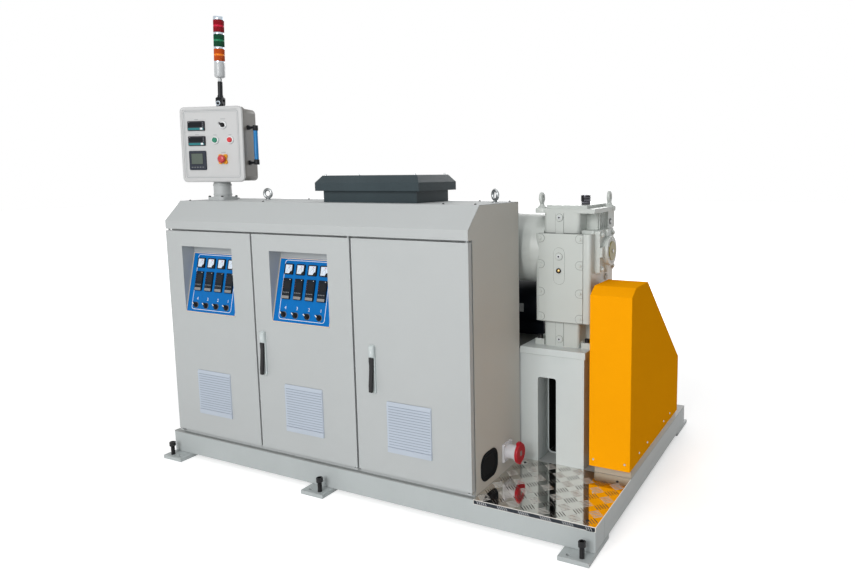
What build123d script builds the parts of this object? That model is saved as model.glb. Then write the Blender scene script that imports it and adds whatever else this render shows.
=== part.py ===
from build123d import *
import math
import os

# Plastic extruder on a steel base, in millimetres.
# X runs along the machine, the front with the three doors faces -Y, Z is up.
# The origin is on the floor, under the middle of the whole machine.

# Base frame
base_depth = 1490.0
beam_width = 100.0
beam_height = 102.0
deck_thickness = 4.0
foot_thickness = 18.0
foot_width = 126.0
foot_depth = 230.0
foot_overhang = 72.0
foot_left_of_middle = 166.0
anchor_edge = 35.0
anchor_bore = 18.0
jack_edge = 37.0
jack_setback = 27.0
jack_shank = 20.0
jack_head = 30.0
jack_head_height = 20.0
jack_stand = 56.0
jack_sides = 12
guard_overhang = 10.0

# Cabinet with three doors
cabinet_length = 1725.0
cabinet_left_inset = 52.0
door_count = 3
sheet = 2.0
door_thickness = 24.0
door_face_overhang = 6.0
door_back_gap = 10.0
door_gap = 10.0
door_bottom_gap = 26.0
door_height = 1015.0
door_top_gap = 8.0
door_skin = 2.0
door_border = 24.0
cabinet_back_offset = 442.0
fascia_height = 41.0
roof_slope_depth = 94.0
roof_slope_height = 93.0
rail_depth = 30.0
bottom_rail_height = 20.0
bottom_rail_nose = 10.0
top_rail_height = 24.0
post_width = 36.0
pivot_inset = 12.0
pivot_diameter = 10.0
pivot_clearance = 0.3
pivot_depth = 18.0
lug_thickness = 6.0
lug_width = 22.0
mounting_plate_gap = 60.0
mounting_plate_edge = 90.0
standoff_width = 20.0

# Sloping operating consoles in doors 1 and 2
console_width = 338.0
console_height = 326.0
console_above_deck = 641.0
console_shift = -10.0
console_recess = 71.0
console_panel_rise = 290.0
console_flange = 14.0
console_body_depth = 128.0
console_panel_thickness = 3.0
instrument_pitch = 69.5
instrument_size = 48.0
controller_height = 96.0
instrument_proud = 7.0
ammeter_height_on_panel = 246.0
controller_height_on_panel = 156.0
knob_height_on_panel = 38.0
knob_diameter = 22.0
knob_flute_count = 12
knob_taper_degrees = 6.0
knob_length = 17.0

# Filter grilles
grille_size = 223.0
grille_above_deck = 131.0
grille_shift = -10.0
grille_proud = 7.0
grille_frame = 9.0
grille_foot = 26.0
louvre_count = 15
louvre_slot = 5.0
louvre_slot_depth = 5.0

# Swing handles on doors 2 and 3
handle_above_deck = 380.0
handle_height = 211.0
handle_width = 28.0
handle_plate = 9.0
lever_height = 150.0
lever_width = 22.0
lever_proud = 30.0
lever_rise = 8.0
lever_grip = 26.0
lever_lip = 5.0
handle_corner = 10.0
handle_dome_proud = 20.0
handle_edge_door_2 = 44.0
handle_edge_door_3 = 96.0

# Roof ventilator and lifting eyes
vent_right_offset = 598.0
vent_center_offset = 287.0
collar_length = 510.0
collar_depth = 255.0
collar_height = 51.0
hood_length = 565.0
hood_depth = 305.0
hood_skirt_height = 37.0
hood_top_length = 515.0
hood_top_depth = 255.0
hood_rise = 32.0
eye_ring_radius = 21.0
eye_wire_radius = 6.0
eye_sides = 24
eye_neck_width = 20.0
eye_neck_height = 9.0
eye_offset = 330.0
eye_left_inset = 353.0
eye_right_inset = 56.0

# Cable opening and power socket on the right side of the cabinet
gland_width = 146.0
gland_height = 122.0
gland_corner = 46.0
gland_offset = 141.0
gland_above_deck = 91.0
gland_proud = 5.0
socket_flange = 84.0
socket_flange_thickness = 8.0
socket_offset = 304.0
socket_above_deck = 90.0
socket_barrel_diameter = 62.0
socket_barrel_length = 52.0
socket_lid_diameter = 90.0
socket_lid_thickness = 12.0

# Operating head on the roof
head_offset_x = 124.0
head_offset_y = 247.0
head_turn_degrees = 15.0
head_lean_degrees = -1.0
head_width = 340.0
head_height = 366.0
head_depth = 132.0
head_lid_thickness = 26.0
head_body_inset = 6.0
head_corner = 22.0
head_panel_inset = 18.0
head_panel_step = 3.0
head_edge_chamfer = 4.0
socket_corner = 5.0
support_height = 98.0
support_flange = 112.0
support_flange_thickness = 16.0
support_tube = 86.0
support_band_height = 14.0
head_swivel_gap = 0.3
swivel_ring_inset = 2.0
meter_width = 96.0
meter_height = 48.0
meter_x = -86.0
meter_upper_z = 274.0
meter_lower_z = 199.0
display_z = 102.0
button_diameter = 26.0
button_sides = 16
button_proud = 12.0
selector_x = 63.0
selector_z = 276.0
green_x = 16.0
red_x = 99.0
push_z = 202.0
stop_x = 56.0
stop_z = 107.0
stop_base_diameter = 44.0
stop_base_height = 9.0
stop_head_diameter = 38.0
stop_head_height = 18.0
selector_grip_length = 30.0
selector_hub_diameter = 18.0
selector_grip_width = 8.0
selector_proud = 20.0
selector_turn_degrees = 60.0
handle_bar_diameter = 28.0
handle_bar_length = 176.0
handle_bar_reach = 45.0
handle_bar_z = 178.0
handle_bracket_diameter = 20.0

# Signal tower on the operating head
tower_diameter = 52.0
tower_offset_y = 20.0
tower_lean_degrees = 1.7
tower_pole_diameter = 24.0
tower_foot_width = 40.0
tower_foot_height = 12.0
tower_fold_height = 32.0
tower_fold_width = 16.0
tower_fold_radius = 19.0
tower_fork_clearance = 0.3
tower_fork_cheek = 6.0
tower_neck_flare = 3.0
tower_core_width = 16.0
tower_pole_top = 147.0
tower_neck_height = 20.0
tower_base_height = 75.0
tower_lens_height = 60.0
tower_ring_height = 11.0
tower_cap_height = 18.0

# Pedestal that carries the gearbox
pedestal_length = 305.0
pedestal_right_inset = 217.0
pedestal_front_offset = 453.0
pedestal_depth = 367.0
pedestal_height = 500.0
pedestal_side_gap = 1.0
pedestal_top_thickness = 31.0
pedestal_top_overhang = 7.0
pedestal_wall = 12.0
slot_left_offset = 84.0
slot_width = 89.0
slot_height = 397.0
slot_corner = 12.0
slot_rear_corner = 30.0
slot_rear_inset = 14.0

# Gearbox
gearbox_center_inset = 334.0
gearbox_front_offset = 540.0
gearbox_width = 260.0
gearbox_depth = 260.0
gearbox_foot_width = 267.0
gearbox_foot_height = 26.0
gearbox_body_height = 600.0
gearbox_corner = 10.0
gearbox_top_flange_height = 19.0
gearbox_top_flange_width = 278.0
gearbox_boss_width = 168.0
gearbox_boss_proud = 26.0
gearbox_lower_boss_height = 117.5
gearbox_upper_boss_height = 98.0
gearbox_cover_width = 208.0
gearbox_cover_height = 393.0
gearbox_cover_rise = 117.5
gearbox_cover_proud = 52.0
gearbox_cover_corner = 12.0
gearbox_cover_shift = -9.0
gearbox_frame_proud = 49.0
top_cover_height = 14.0
top_cover_margin = 44.0
gearbox_niche_depth = 8.0
gearbox_niche_setback = 64.0
gearbox_niche_height = 76.0
gearbox_rib_count = 5
gearbox_rib_width = 8.0
gearbox_rib_pitch = 27.0
gearbox_rib_height = 5.0
gearbox_rib_setback = 76.0
gearbox_lug_width = 88.0
gearbox_lug_proud = 4.0
gearbox_boss_round = 14.0
gearbox_boss_shift = -14.0
gearbox_band_width = 37.0
gearbox_band_proud = 2.0
gearbox_band_shift = -23.0
plug_diameter = 31.0
plug_proud = 4.0
plug_below_body_top = 20.0
plug_on_lower_boss = 34.0
cover_pad_radius = 17.0
cover_pad_depth = 4.0
cover_oval_width = 51.0
cover_oval_height = 163.0
cover_oval_above_middle = 54.0
cover_oval_proud = 2.0
cover_plug_above_middle = 92.0
sight_glass_above_middle = 28.0
sight_glass_diameter = 22.0
sight_glass_proud = 6.0
gearbox_foot_length = 44.0
gearbox_eye_radius = 19.0
gearbox_eye_wire = 7.0
gearbox_eye_neck_width = 24.0
gearbox_eye_neck_height = 16.0
gearbox_eye_inset = 22.0
breather_hex = 44.0
breather_hex_height = 14.0
breather_diameter = 44.0
breather_height = 30.0
breather_right_of_middle = 58.0
breather_behind_axis = 0.0

# Screw axis, bearing flange, bell housing and barrel
axis_offset = 637.0
axis_above_deck = 960.0
bearing_flange_size = 190.0
bearing_flange_thickness = 24.0
bearing_boss_diameter = 130.0
bearing_boss_length = 24.0
shaft_cap_diameter = 86.0
shaft_cap_length = 4.0
bell_diameter = 318.0
bell_length = 226.0
bell_neck_diameter = 210.0
bell_mouth_diameter = 216.0
bell_shoulder_start = 14.0
bell_shoulder_end = 52.0
bell_flange_start = 205.0
feed_length = 150.0
feed_size = 200.0
feed_throat = 70.0
feed_flange = 170.0
feed_flange_thickness = 16.0
barrel_diameter = 120.0
barrel_nose = 108.0
barrel_bore = 60.0
barrel_bore_depth = 120.0
barrel_flange_diameter = 190.0
barrel_flange_thickness = 32.0
barrel_cover_width = 290.0
barrel_cover_below = 150.0
barrel_cover_above = 128.0
barrel_cover_length = 1100.0
barrel_cover_chamfer = 40.0
barrel_support_length = 90.0
barrel_support_inset = 90.0
barrel_support_edge = 40.0
stand_top_above_deck = 520.0
stand_left_inset = 170.0
stand_depth = 500.0
stand_setback = 8.0
stand_plinth_inset = 24.0
stand_plinth_height = 60.0
stand_top_plate = 20.0
stand_top_overhang = 10.0
blower_length = 250.0
blower_depth = 260.0
blower_height = 270.0
blower_volute_diameter = 250.0
blower_motor_diameter = 200.0
blower_motor_length = 70.0

# Belt guard and drive motor
guard_width = 188.0
guard_front_offset = 413.0
guard_bottom = 43.0
guard_crease = 794.0
guard_top = 828.0
guard_top_front = 57.0
guard_top_rear = 240.0
guard_depth = 865.0
guard_rear_height = 340.0
guard_edge_round = 3.0
sill_inset = 10.0
motor_axis_offset = 1110.0
motor_axis_above_deck = 200.0
motor_diameter = 290.0
motor_length = 480.0
motor_gap = 12.0
motor_fin_count = 20
motor_fin_height = 12.0
motor_fin_thickness = 5.0
motor_fin_root = 4.0
motor_cowl_length = 110.0
motor_shield_length = 40.0
motor_spigot_diameter = 72.0
motor_foot_height = 24.0
motor_foot_inset = 30.0
motor_web_width = 180.0
motor_box_setback = 70.0
motor_box_length = 150.0
motor_box_width = 130.0
motor_box_height = 70.0

# Places worked out from the sizes above
base_length = (
    cabinet_left_inset + cabinet_length + pedestal_side_gap + pedestal_length + pedestal_right_inset
)
base_middle_x = -guard_overhang / 2
base_left = base_middle_x - base_length / 2
base_right = base_middle_x + base_length / 2
base_front = -base_depth / 2
base_rear = base_depth / 2
beam_bottom = foot_thickness
beam_top = beam_bottom + beam_height
deck = beam_top + deck_thickness

cabinet_left = base_left + cabinet_left_inset
cabinet_right = cabinet_left + cabinet_length
door_face = base_front - door_face_overhang
door_back = door_face + door_thickness
cabinet_front = door_back + door_back_gap
cabinet_back = base_front + cabinet_back_offset
door_bottom = deck + door_bottom_gap
door_top = door_bottom + door_height
fascia_bottom = door_top + door_top_gap
fascia_top = fascia_bottom + fascia_height
roof_top = fascia_top + roof_slope_height
roof_front = door_face + roof_slope_depth
door_pitch = cabinet_length / door_count
pivot_y = door_face + pivot_inset

axis_y = base_front + axis_offset
axis_z = deck + axis_above_deck
gearbox_x = base_right - gearbox_center_inset
gearbox_left = gearbox_x - gearbox_width / 2
gearbox_right = gearbox_x + gearbox_width / 2
gearbox_front = base_front + gearbox_front_offset
gearbox_back = gearbox_front + gearbox_depth
pedestal_left = cabinet_right + pedestal_side_gap
pedestal_right = base_right - pedestal_right_inset
pedestal_front = base_front + pedestal_front_offset
pedestal_back = pedestal_front + pedestal_depth
pedestal_top = deck + pedestal_height
gearbox_floor = pedestal_top + pedestal_top_thickness
guard_right = base_right + guard_overhang
guard_left = guard_right - guard_width
guard_front = base_front + guard_front_offset
guard_rear = guard_front + guard_depth


def block(x0, x1, y0, y1, z0, z1, mode=Mode.ADD):
    """A box between two corners, for the part that is being built."""
    with Locations(((x0 + x1) / 2, (y0 + y1) / 2, (z0 + z1) / 2)):
        Box(x1 - x0, y1 - y0, z1 - z0, mode=mode)


def save(part, name):
    """Names a finished piece and writes its file."""
    part.label = name
    export_step(part, f"parts/{name}.step")


os.makedirs("parts", exist_ok=True)

# Long beams of the base, one along the front and one along the rear
with BuildPart() as long_beams:
    for y0 in (base_front, base_rear - beam_width):
        block(base_left, base_right, y0, y0 + beam_width, beam_bottom, beam_top)
save(long_beams.part, "long_beams")

# Cross beams: one at each end and two between
cross_left = [
    base_left,
    cabinet_left + door_pitch,
    pedestal_left - beam_width,
    base_right - beam_width,
]
with BuildPart() as cross_beams:
    for x0 in cross_left:
        block(
            x0,
            x0 + beam_width,
            base_front + beam_width,
            base_rear - beam_width,
            beam_bottom,
            beam_top,
        )
save(cross_beams.part, "cross_beams")

# Foot plates under the long beams, each with an anchor hole and a levelling bolt
foot_left = [
    base_left,
    base_middle_x - foot_left_of_middle - foot_width / 2,
    base_right - foot_width,
]
anchor_x = [
    foot_left[0] + foot_width - anchor_edge,
    foot_left[1] + anchor_edge,
    foot_left[2] + anchor_edge,
]
jack_x = [
    foot_left[0] + jack_edge,
    foot_left[1] + foot_width - jack_edge,
    foot_left[2] + foot_width - jack_edge,
]
jack_y = base_front - foot_overhang + jack_setback
with BuildPart() as foot_plates:
    for side in (-1, 1):
        outer = side * (base_depth / 2 + foot_overhang)
        inner = outer - side * foot_depth
        for x0 in foot_left:
            block(
                x0, x0 + foot_width, min(outer, inner), max(outer, inner), 0, foot_thickness
            )
    foot_holes = [(x, side * jack_y) for x in anchor_x for side in (-1, 1)]
    with Locations(*[(x, y, foot_thickness) for x, y in foot_holes]):
        Hole(anchor_bore / 2, depth=foot_thickness)
    jack_holes = [(x, side * jack_y) for x in jack_x for side in (-1, 1)]
    with BuildSketch():
        with Locations(*jack_holes):
            RegularPolygon(jack_shank / 2 + pivot_clearance, jack_sides)
    extrude(amount=foot_thickness, mode=Mode.SUBTRACT)
save(foot_plates.part, "foot_plates")

# Levelling bolts: socket head screws that stand in the foot plates
jack_head_z = foot_thickness + jack_stand - jack_head_height
with BuildPart() as levelling_bolts:
    with BuildSketch():
        with Locations(*jack_holes):
            RegularPolygon(jack_shank / 2, jack_sides)
    extrude(amount=jack_head_z)
    with BuildSketch(Plane.XY.offset(jack_head_z)):
        with Locations(*jack_holes):
            RegularPolygon(jack_head / 2, jack_sides)
    extrude(amount=jack_head_height)
save(levelling_bolts.part, "levelling_bolts")

# Deck: tread plate in front of the pedestal, plain sheet elsewhere
tread_left = cabinet_right + sheet
tread_back = pedestal_front - sheet
tread_lip = 20.0
with BuildPart() as tread_plate:
    block(tread_left, base_right, base_front - sheet, tread_back, beam_top, deck)
    block(
        tread_left, base_right, base_front - sheet, base_front, deck - tread_lip, beam_top
    )
save(tread_plate.part, "tread_plate")

with BuildPart() as deck_sheet:
    block(base_left, base_right, base_front, base_rear, beam_top, deck)
    block(
        tread_left, base_right, base_front, tread_back, beam_top, deck, mode=Mode.SUBTRACT
    )
save(deck_sheet.part, "deck_sheet")

# Side panels of the cabinet, cut back for the doors and following the roof
slope_angle = math.atan2(roof_slope_height, roof_slope_depth)
fold_shift = sheet * math.tan(slope_angle / 2)
fold_drop = sheet * math.tan((math.pi / 2 - slope_angle) / 2)
side_outline = [
    (cabinet_front, deck),
    (cabinet_front, fascia_bottom),
    (door_face + sheet, fascia_bottom),
    (door_face + sheet, fascia_top - fold_drop),
    (roof_front + fold_shift, roof_top - sheet),
    (cabinet_back - sheet, roof_top - sheet),
    (cabinet_back - sheet, deck),
]
with BuildPart() as side_panels:
    for x0 in (cabinet_left, cabinet_right - sheet):
        with BuildSketch(Plane.YZ.offset(x0)):
            with BuildLine():
                Polyline(*side_outline, close=True)
            make_face()
        extrude(amount=sheet)
save(side_panels.part, "side_panels")

with BuildPart() as back_panel:
    block(
        cabinet_left, cabinet_right, cabinet_back - sheet, cabinet_back, deck, roof_top - sheet
    )
save(back_panel.part, "back_panel")

# Roof: one folded sheet with an upright fascia, a slope and a flat top
with BuildPart() as roof:
    with BuildSketch(Plane.YZ.offset(cabinet_left)):
        with BuildLine():
            Polyline(
                (door_face, fascia_bottom),
                (door_face, fascia_top),
                (roof_front, roof_top),
                (cabinet_back, roof_top),
                (cabinet_back, roof_top - sheet),
                (roof_front + fold_shift, roof_top - sheet),
                (door_face + sheet, fascia_top - fold_drop),
                (door_face + sheet, fascia_bottom),
                close=True,
            )
        make_face()
    extrude(amount=cabinet_length)
save(roof.part, "roof")

# Front frame: rails, posts and the pivot pins of the doors
rail_back = cabinet_front + rail_depth
mullion_x = cabinet_left + 2 * door_pitch
bottom_rail_top = deck + bottom_rail_height
pivot_x = [
    cabinet_left + pivot_inset,
    mullion_x - door_gap / 2 - pivot_inset,
    cabinet_right - pivot_inset,
]
inner_left = cabinet_left + sheet
inner_right = cabinet_right - sheet
with BuildPart() as front_frame:
    block(
        inner_left,
        inner_right,
        cabinet_front - bottom_rail_nose,
        rail_back,
        deck,
        bottom_rail_top,
    )
    block(
        inner_left,
        inner_right,
        cabinet_front,
        rail_back,
        fascia_bottom - top_rail_height,
        fascia_bottom + lug_thickness,
    )
    for x0 in (inner_left, mullion_x - post_width / 2, inner_right - post_width):
        block(
            x0,
            x0 + post_width,
            cabinet_front,
            rail_back,
            bottom_rail_top,
            fascia_bottom - top_rail_height,
        )
    for x in pivot_x:
        lug_x0 = max(x - lug_width / 2, inner_left)
        lug_x1 = min(x + lug_width / 2, inner_right)
        block(
            lug_x0,
            lug_x1,
            door_face + sheet,
            cabinet_front,
            bottom_rail_top - lug_thickness,
            bottom_rail_top,
        )
        block(
            lug_x0,
            lug_x1,
            door_face + sheet,
            cabinet_front,
            fascia_bottom,
            fascia_bottom + lug_thickness,
        )
        with Locations((x, pivot_y, bottom_rail_top)):
            Cylinder(
                pivot_diameter / 2,
                door_bottom - bottom_rail_top + pivot_depth,
                align=(Align.CENTER, Align.CENTER, Align.MIN),
            )
        with Locations((x, pivot_y, fascia_bottom)):
            Cylinder(
                pivot_diameter / 2,
                door_top_gap + pivot_depth,
                align=(Align.CENTER, Align.CENTER, Align.MAX),
            )
save(front_frame.part, "front_frame")

# Mounting plate for the electrical parts, on the back panel
with BuildPart() as mounting_plate:
    block(
        inner_left + mounting_plate_edge,
        inner_right - mounting_plate_edge,
        cabinet_back - mounting_plate_gap,
        cabinet_back - mounting_plate_gap + sheet,
        deck + mounting_plate_edge,
        fascia_bottom - mounting_plate_edge,
    )
    standoffs = [
        (x, z)
        for x in (
            inner_left + 2 * mounting_plate_edge,
            mullion_x,
            inner_right - 2 * mounting_plate_edge,
        )
        for z in (deck + 2 * mounting_plate_edge, fascia_bottom - 2 * mounting_plate_edge)
    ]
    for x, z in standoffs:
        block(
            x - standoff_width / 2,
            x + standoff_width / 2,
            cabinet_back - mounting_plate_gap + sheet,
            cabinet_back - sheet,
            z - standoff_width / 2,
            z + standoff_width / 2,
        )
save(mounting_plate.part, "mounting_plate")

# Doors: folded leaves with a border, pivot bores and, in two, a console opening
door_left = [
    cabinet_left,
    cabinet_left + door_pitch + door_gap / 2,
    mullion_x + door_gap / 2,
]
door_right = [
    cabinet_left + door_pitch - door_gap / 2,
    mullion_x - door_gap / 2,
    cabinet_right,
]
door_middle = [cabinet_left + (i + 0.5) * door_pitch for i in range(door_count)]
console_bottom = deck + console_above_deck
console_top = console_bottom + console_height
console_doors = (0, 1)


def door_leaf(index):
    """One door leaf, with its console opening where it has one."""
    x0 = door_left[index]
    x1 = door_right[index]
    with BuildPart() as leaf:
        block(x0, x1, door_face, door_back, door_bottom, door_top)
        block(
            x0 + door_border,
            x1 - door_border,
            door_face + door_skin,
            door_back,
            door_bottom + door_border,
            door_top - door_border,
            mode=Mode.SUBTRACT,
        )
        if index in console_doors:
            middle = door_middle[index] + console_shift
            block(
                middle - console_width / 2,
                middle + console_width / 2,
                door_face,
                door_back,
                console_bottom,
                console_top,
                mode=Mode.SUBTRACT,
            )
        for z, turn in ((door_bottom, 0), (door_top, 180)):
            with Locations(Location((pivot_x[index], pivot_y, z), (turn, 0, 0))):
                Cylinder(
                    pivot_diameter / 2 + pivot_clearance,
                    pivot_depth + pivot_clearance,
                    align=(Align.CENTER, Align.CENTER, Align.MIN),
                    mode=Mode.SUBTRACT,
                )
    return leaf.part


for i in range(door_count):
    save(door_leaf(i), f"door_{i + 1}")

# Console housings: the recess has upright sides and a sloping back
panel_angle = math.atan2(console_recess, console_panel_rise)
panel_set = console_panel_thickness / math.cos(panel_angle)


def panel_plane(index):
    """The sloping panel's face, from its lower edge up, seen from the front."""
    return Plane(
        origin=(door_middle[index] + console_shift, door_face, console_bottom),
        x_dir=(1, 0, 0),
        z_dir=(0, -math.cos(panel_angle), math.sin(panel_angle)),
    )


def console_housing(index):
    """The closed box behind the door with the sloping recess in its front."""
    middle = door_middle[index] + console_shift
    half = console_width / 2
    with BuildPart() as housing:
        block(
            middle - half - console_flange,
            middle + half + console_flange,
            door_face + door_skin,
            door_face + console_body_depth,
            console_bottom - console_flange,
            console_top + console_flange,
        )
        with BuildSketch(Plane.YZ.offset(middle - half)):
            with BuildLine():
                Polyline(
                    (door_face, console_bottom),
                    (door_face + panel_set, console_bottom),
                    (door_face + console_recess + panel_set, console_bottom + console_panel_rise),
                    (door_face + console_recess, console_bottom + console_panel_rise),
                    (door_face + console_recess, console_top),
                    (door_face, console_top),
                    close=True,
                )
            make_face()
        extrude(amount=console_width, mode=Mode.SUBTRACT)
    return housing.part


def console_panel(index):
    """The sloping panel that closes the recess."""
    left = door_middle[index] + console_shift - console_width / 2
    with BuildPart() as panel:
        with BuildSketch(Plane.YZ.offset(left)):
            with BuildLine():
                Polyline(
                    (door_face, console_bottom),
                    (door_face + panel_set, console_bottom),
                    (door_face + console_recess + panel_set, console_bottom + console_panel_rise),
                    (door_face + console_recess, console_bottom + console_panel_rise),
                    close=True,
                )
            make_face()
        extrude(amount=console_width)
    return panel.part


def console_instruments(index):
    """Four ammeters, four controllers and four rotary knobs on a panel."""
    plane = panel_plane(index)
    columns = [(i - 1.5) * instrument_pitch for i in range(4)]
    with BuildPart() as instruments:
        with BuildSketch(plane):
            with Locations(*[(x, ammeter_height_on_panel) for x in columns]):
                Rectangle(instrument_size, instrument_size)
            with Locations(*[(x, controller_height_on_panel) for x in columns]):
                Rectangle(instrument_size, controller_height)
        extrude(amount=instrument_proud)
        with BuildSketch(plane):
            with Locations(*[(x, knob_height_on_panel) for x in columns]):
                RegularPolygon(knob_diameter / 2, knob_flute_count)
        extrude(amount=knob_length, taper=knob_taper_degrees)
    return instruments.part


for i in console_doors:
    save(console_housing(i), f"console_housing_{i + 1}")
    save(console_panel(i), f"console_panel_{i + 1}")
    save(console_instruments(i), f"console_instruments_{i + 1}")

# Filter grilles: a frame, horizontal louvres and a plain strip at the foot
grille_bottom = deck + grille_above_deck
louvre_pitch = (grille_size - 2 * grille_frame - grille_foot) / louvre_count


def filter_grille(index):
    """One filter grille, seated on the face of a door."""
    middle = door_middle[index] + grille_shift
    half = grille_size / 2
    front = door_face - grille_proud
    with BuildPart() as grille:
        block(
            middle - half, middle + half, front, door_face, grille_bottom, grille_bottom + grille_size
        )
        for k in range(louvre_count):
            z = grille_bottom + grille_frame + grille_foot + (k + 0.5) * louvre_pitch
            block(
                middle - half + grille_frame,
                middle + half - grille_frame,
                front,
                front + louvre_slot_depth,
                z - louvre_slot / 2,
                z + louvre_slot / 2,
                mode=Mode.SUBTRACT,
            )
    return grille.part


for i in range(door_count):
    save(filter_grille(i), f"filter_grille_{i + 1}")

# Swing handles, closed in their plates
handle_bottom = deck + handle_above_deck
handle_edges = {1: handle_edge_door_2, 2: handle_edge_door_3}


def swing_handle(index):
    """The plate and the closed lever of one door."""
    x = door_left[index] + handle_edges[index]
    with BuildPart() as handle:
        with BuildSketch(Plane.XZ.offset(-door_face)):
            with Locations((x, handle_bottom + handle_height / 2)):
                RectangleRounded(handle_width, handle_height, handle_corner)
        extrude(amount=handle_plate)
        with BuildSketch(Plane.YZ.offset(x - lever_width / 2)):
            with BuildLine():
                Polyline(
                    (door_face, handle_bottom + lever_rise),
                    (door_face - lever_proud, handle_bottom + lever_rise),
                    (door_face - lever_proud, handle_bottom + lever_rise + lever_grip),
                    (
                        door_face - handle_plate - lever_lip,
                        handle_bottom + lever_rise + lever_height,
                    ),
                    (door_face, handle_bottom + lever_rise + lever_height),
                    close=True,
                )
            make_face()
        extrude(amount=lever_width)
        block(
            x - handle_width / 2,
            x + handle_width / 2,
            door_face - handle_dome_proud,
            door_face - handle_plate,
            handle_bottom + lever_rise + lever_height,
            handle_bottom + handle_height - handle_corner,
        )
    return handle.part


for i in handle_edges:
    save(swing_handle(i), f"swing_handle_{i + 1}")

# Roof ventilator: a collar on the roof and a hood over it
vent_x = cabinet_right - vent_right_offset
vent_y = base_front + vent_center_offset
collar_top = roof_top + collar_height
with BuildPart() as vent_collar:
    block(
        vent_x - collar_length / 2,
        vent_x + collar_length / 2,
        vent_y - collar_depth / 2,
        vent_y + collar_depth / 2,
        roof_top,
        collar_top,
    )
save(vent_collar.part, "vent_collar")

with BuildPart() as vent_hood:
    with Locations((vent_x, vent_y, collar_top)):
        Box(
            hood_length,
            hood_depth,
            hood_skirt_height,
            align=(Align.CENTER, Align.CENTER, Align.MIN),
        )
    with BuildSketch(Plane.XY.offset(collar_top + hood_skirt_height)):
        with Locations((vent_x, vent_y)):
            Rectangle(hood_length, hood_depth)
    with BuildSketch(Plane.XY.offset(collar_top + hood_skirt_height + hood_rise)):
        with Locations((vent_x, vent_y)):
            Rectangle(hood_top_length, hood_top_depth)
    loft()
save(vent_hood.part, "vent_hood")

# Lifting eyes on the roof
eye_y = base_front + eye_offset
with BuildPart() as lifting_eyes:
    for x in (cabinet_left + eye_left_inset, cabinet_right - eye_right_inset):
        eye_z = roof_top + eye_neck_height + eye_ring_radius
        with BuildSketch(Plane.XZ.offset(-eye_y - eye_wire_radius)):
            with Locations((x, eye_z)):
                RegularPolygon(eye_ring_radius + eye_wire_radius, eye_sides)
            with Locations((x, (roof_top + eye_z) / 2)):
                Rectangle(eye_neck_width, eye_z - roof_top)
            with Locations((x, eye_z)):
                RegularPolygon(eye_ring_radius - eye_wire_radius, eye_sides, mode=Mode.SUBTRACT)
        extrude(amount=2 * eye_wire_radius)
save(lifting_eyes.part, "lifting_eyes")

# Cable opening with its rubber lining, and the power socket
gland_y = base_front + gland_offset
gland_z = deck + gland_above_deck
with BuildPart() as cable_gland:
    with BuildSketch(Plane.YZ.offset(cabinet_right)):
        with Locations((gland_y, gland_z)):
            RectangleRounded(gland_width, gland_height, gland_corner)
    extrude(amount=gland_proud)
save(cable_gland.part, "cable_gland")

socket_y = base_front + socket_offset
socket_z = deck + socket_above_deck
socket_face = cabinet_right + socket_flange_thickness
with BuildPart() as power_socket:
    with BuildSketch(Plane.YZ.offset(cabinet_right)):
        with Locations((socket_y, socket_z)):
            RectangleRounded(socket_flange, socket_flange, socket_corner)
    extrude(amount=socket_flange_thickness)
    with BuildSketch(Plane.YZ.offset(socket_face)):
        with Locations((socket_y, socket_z)):
            Circle(socket_barrel_diameter / 2)
    extrude(amount=socket_barrel_length)
    with BuildSketch(Plane.YZ.offset(socket_face + socket_barrel_length)):
        with Locations((socket_y, socket_z)):
            Circle(socket_lid_diameter / 2)
    extrude(amount=socket_lid_thickness)
save(power_socket.part, "power_socket")

# Support of the operating head: flange and tube on the roof
head_x = cabinet_left + head_offset_x
head_y = base_front + head_offset_y
head_bottom = roof_top + support_height
with BuildPart() as head_support:
    with BuildSketch(Plane.XY.offset(roof_top)):
        with Locations((head_x, head_y)):
            RectangleRounded(support_flange, support_flange, head_corner)
    extrude(amount=support_flange_thickness)
    with Locations((head_x, head_y, roof_top)):
        Cylinder(
            support_tube / 2,
            support_height - support_band_height,
            align=(Align.CENTER, Align.CENTER, Align.MIN),
        )
save(head_support.part, "head_support")

# Operating head: everything on it is placed on this turned and leaning plane
turn = math.radians(head_turn_degrees)
lean = math.radians(head_lean_degrees)
head_plane = Plane(
    origin=(head_x, head_y, head_bottom),
    x_dir=(math.cos(turn), math.sin(turn), 0),
    z_dir=(math.sin(turn) * math.sin(lean), -math.cos(turn) * math.sin(lean), math.cos(lean)),
)
head_front = -head_depth / 2
bottom_centered = (Align.CENTER, Align.CENTER, Align.MIN)


def head_front_plane(height=0.0):
    """The front of the operating head, looked at from the front."""
    local = Plane(origin=(0, head_front - height, 0), x_dir=(1, 0, 0), z_dir=(0, -1, 0))
    return Plane(head_plane.location * local.location)


# Swivel ring between the support and the leaning box
with BuildPart() as swivel_ring:
    with Locations((head_x, head_y, head_bottom - support_band_height + head_swivel_gap)):
        Cylinder(
            support_tube / 2 - swivel_ring_inset,
            support_band_height + head_body_inset,
            align=bottom_centered,
        )
    with Locations(head_plane.location):
        Box(head_width, head_depth, head_height, align=bottom_centered, mode=Mode.SUBTRACT)
save(swivel_ring.part, "swivel_ring")

with BuildPart() as control_box:
    with BuildSketch(head_front_plane(-head_depth)):
        with Locations((0, (head_height - head_body_inset) / 2)):
            RectangleRounded(
                head_width - 2 * head_body_inset, head_height - head_body_inset, head_corner
            )
    extrude(amount=head_depth - head_lid_thickness)
save(control_box.part, "control_box")

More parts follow.
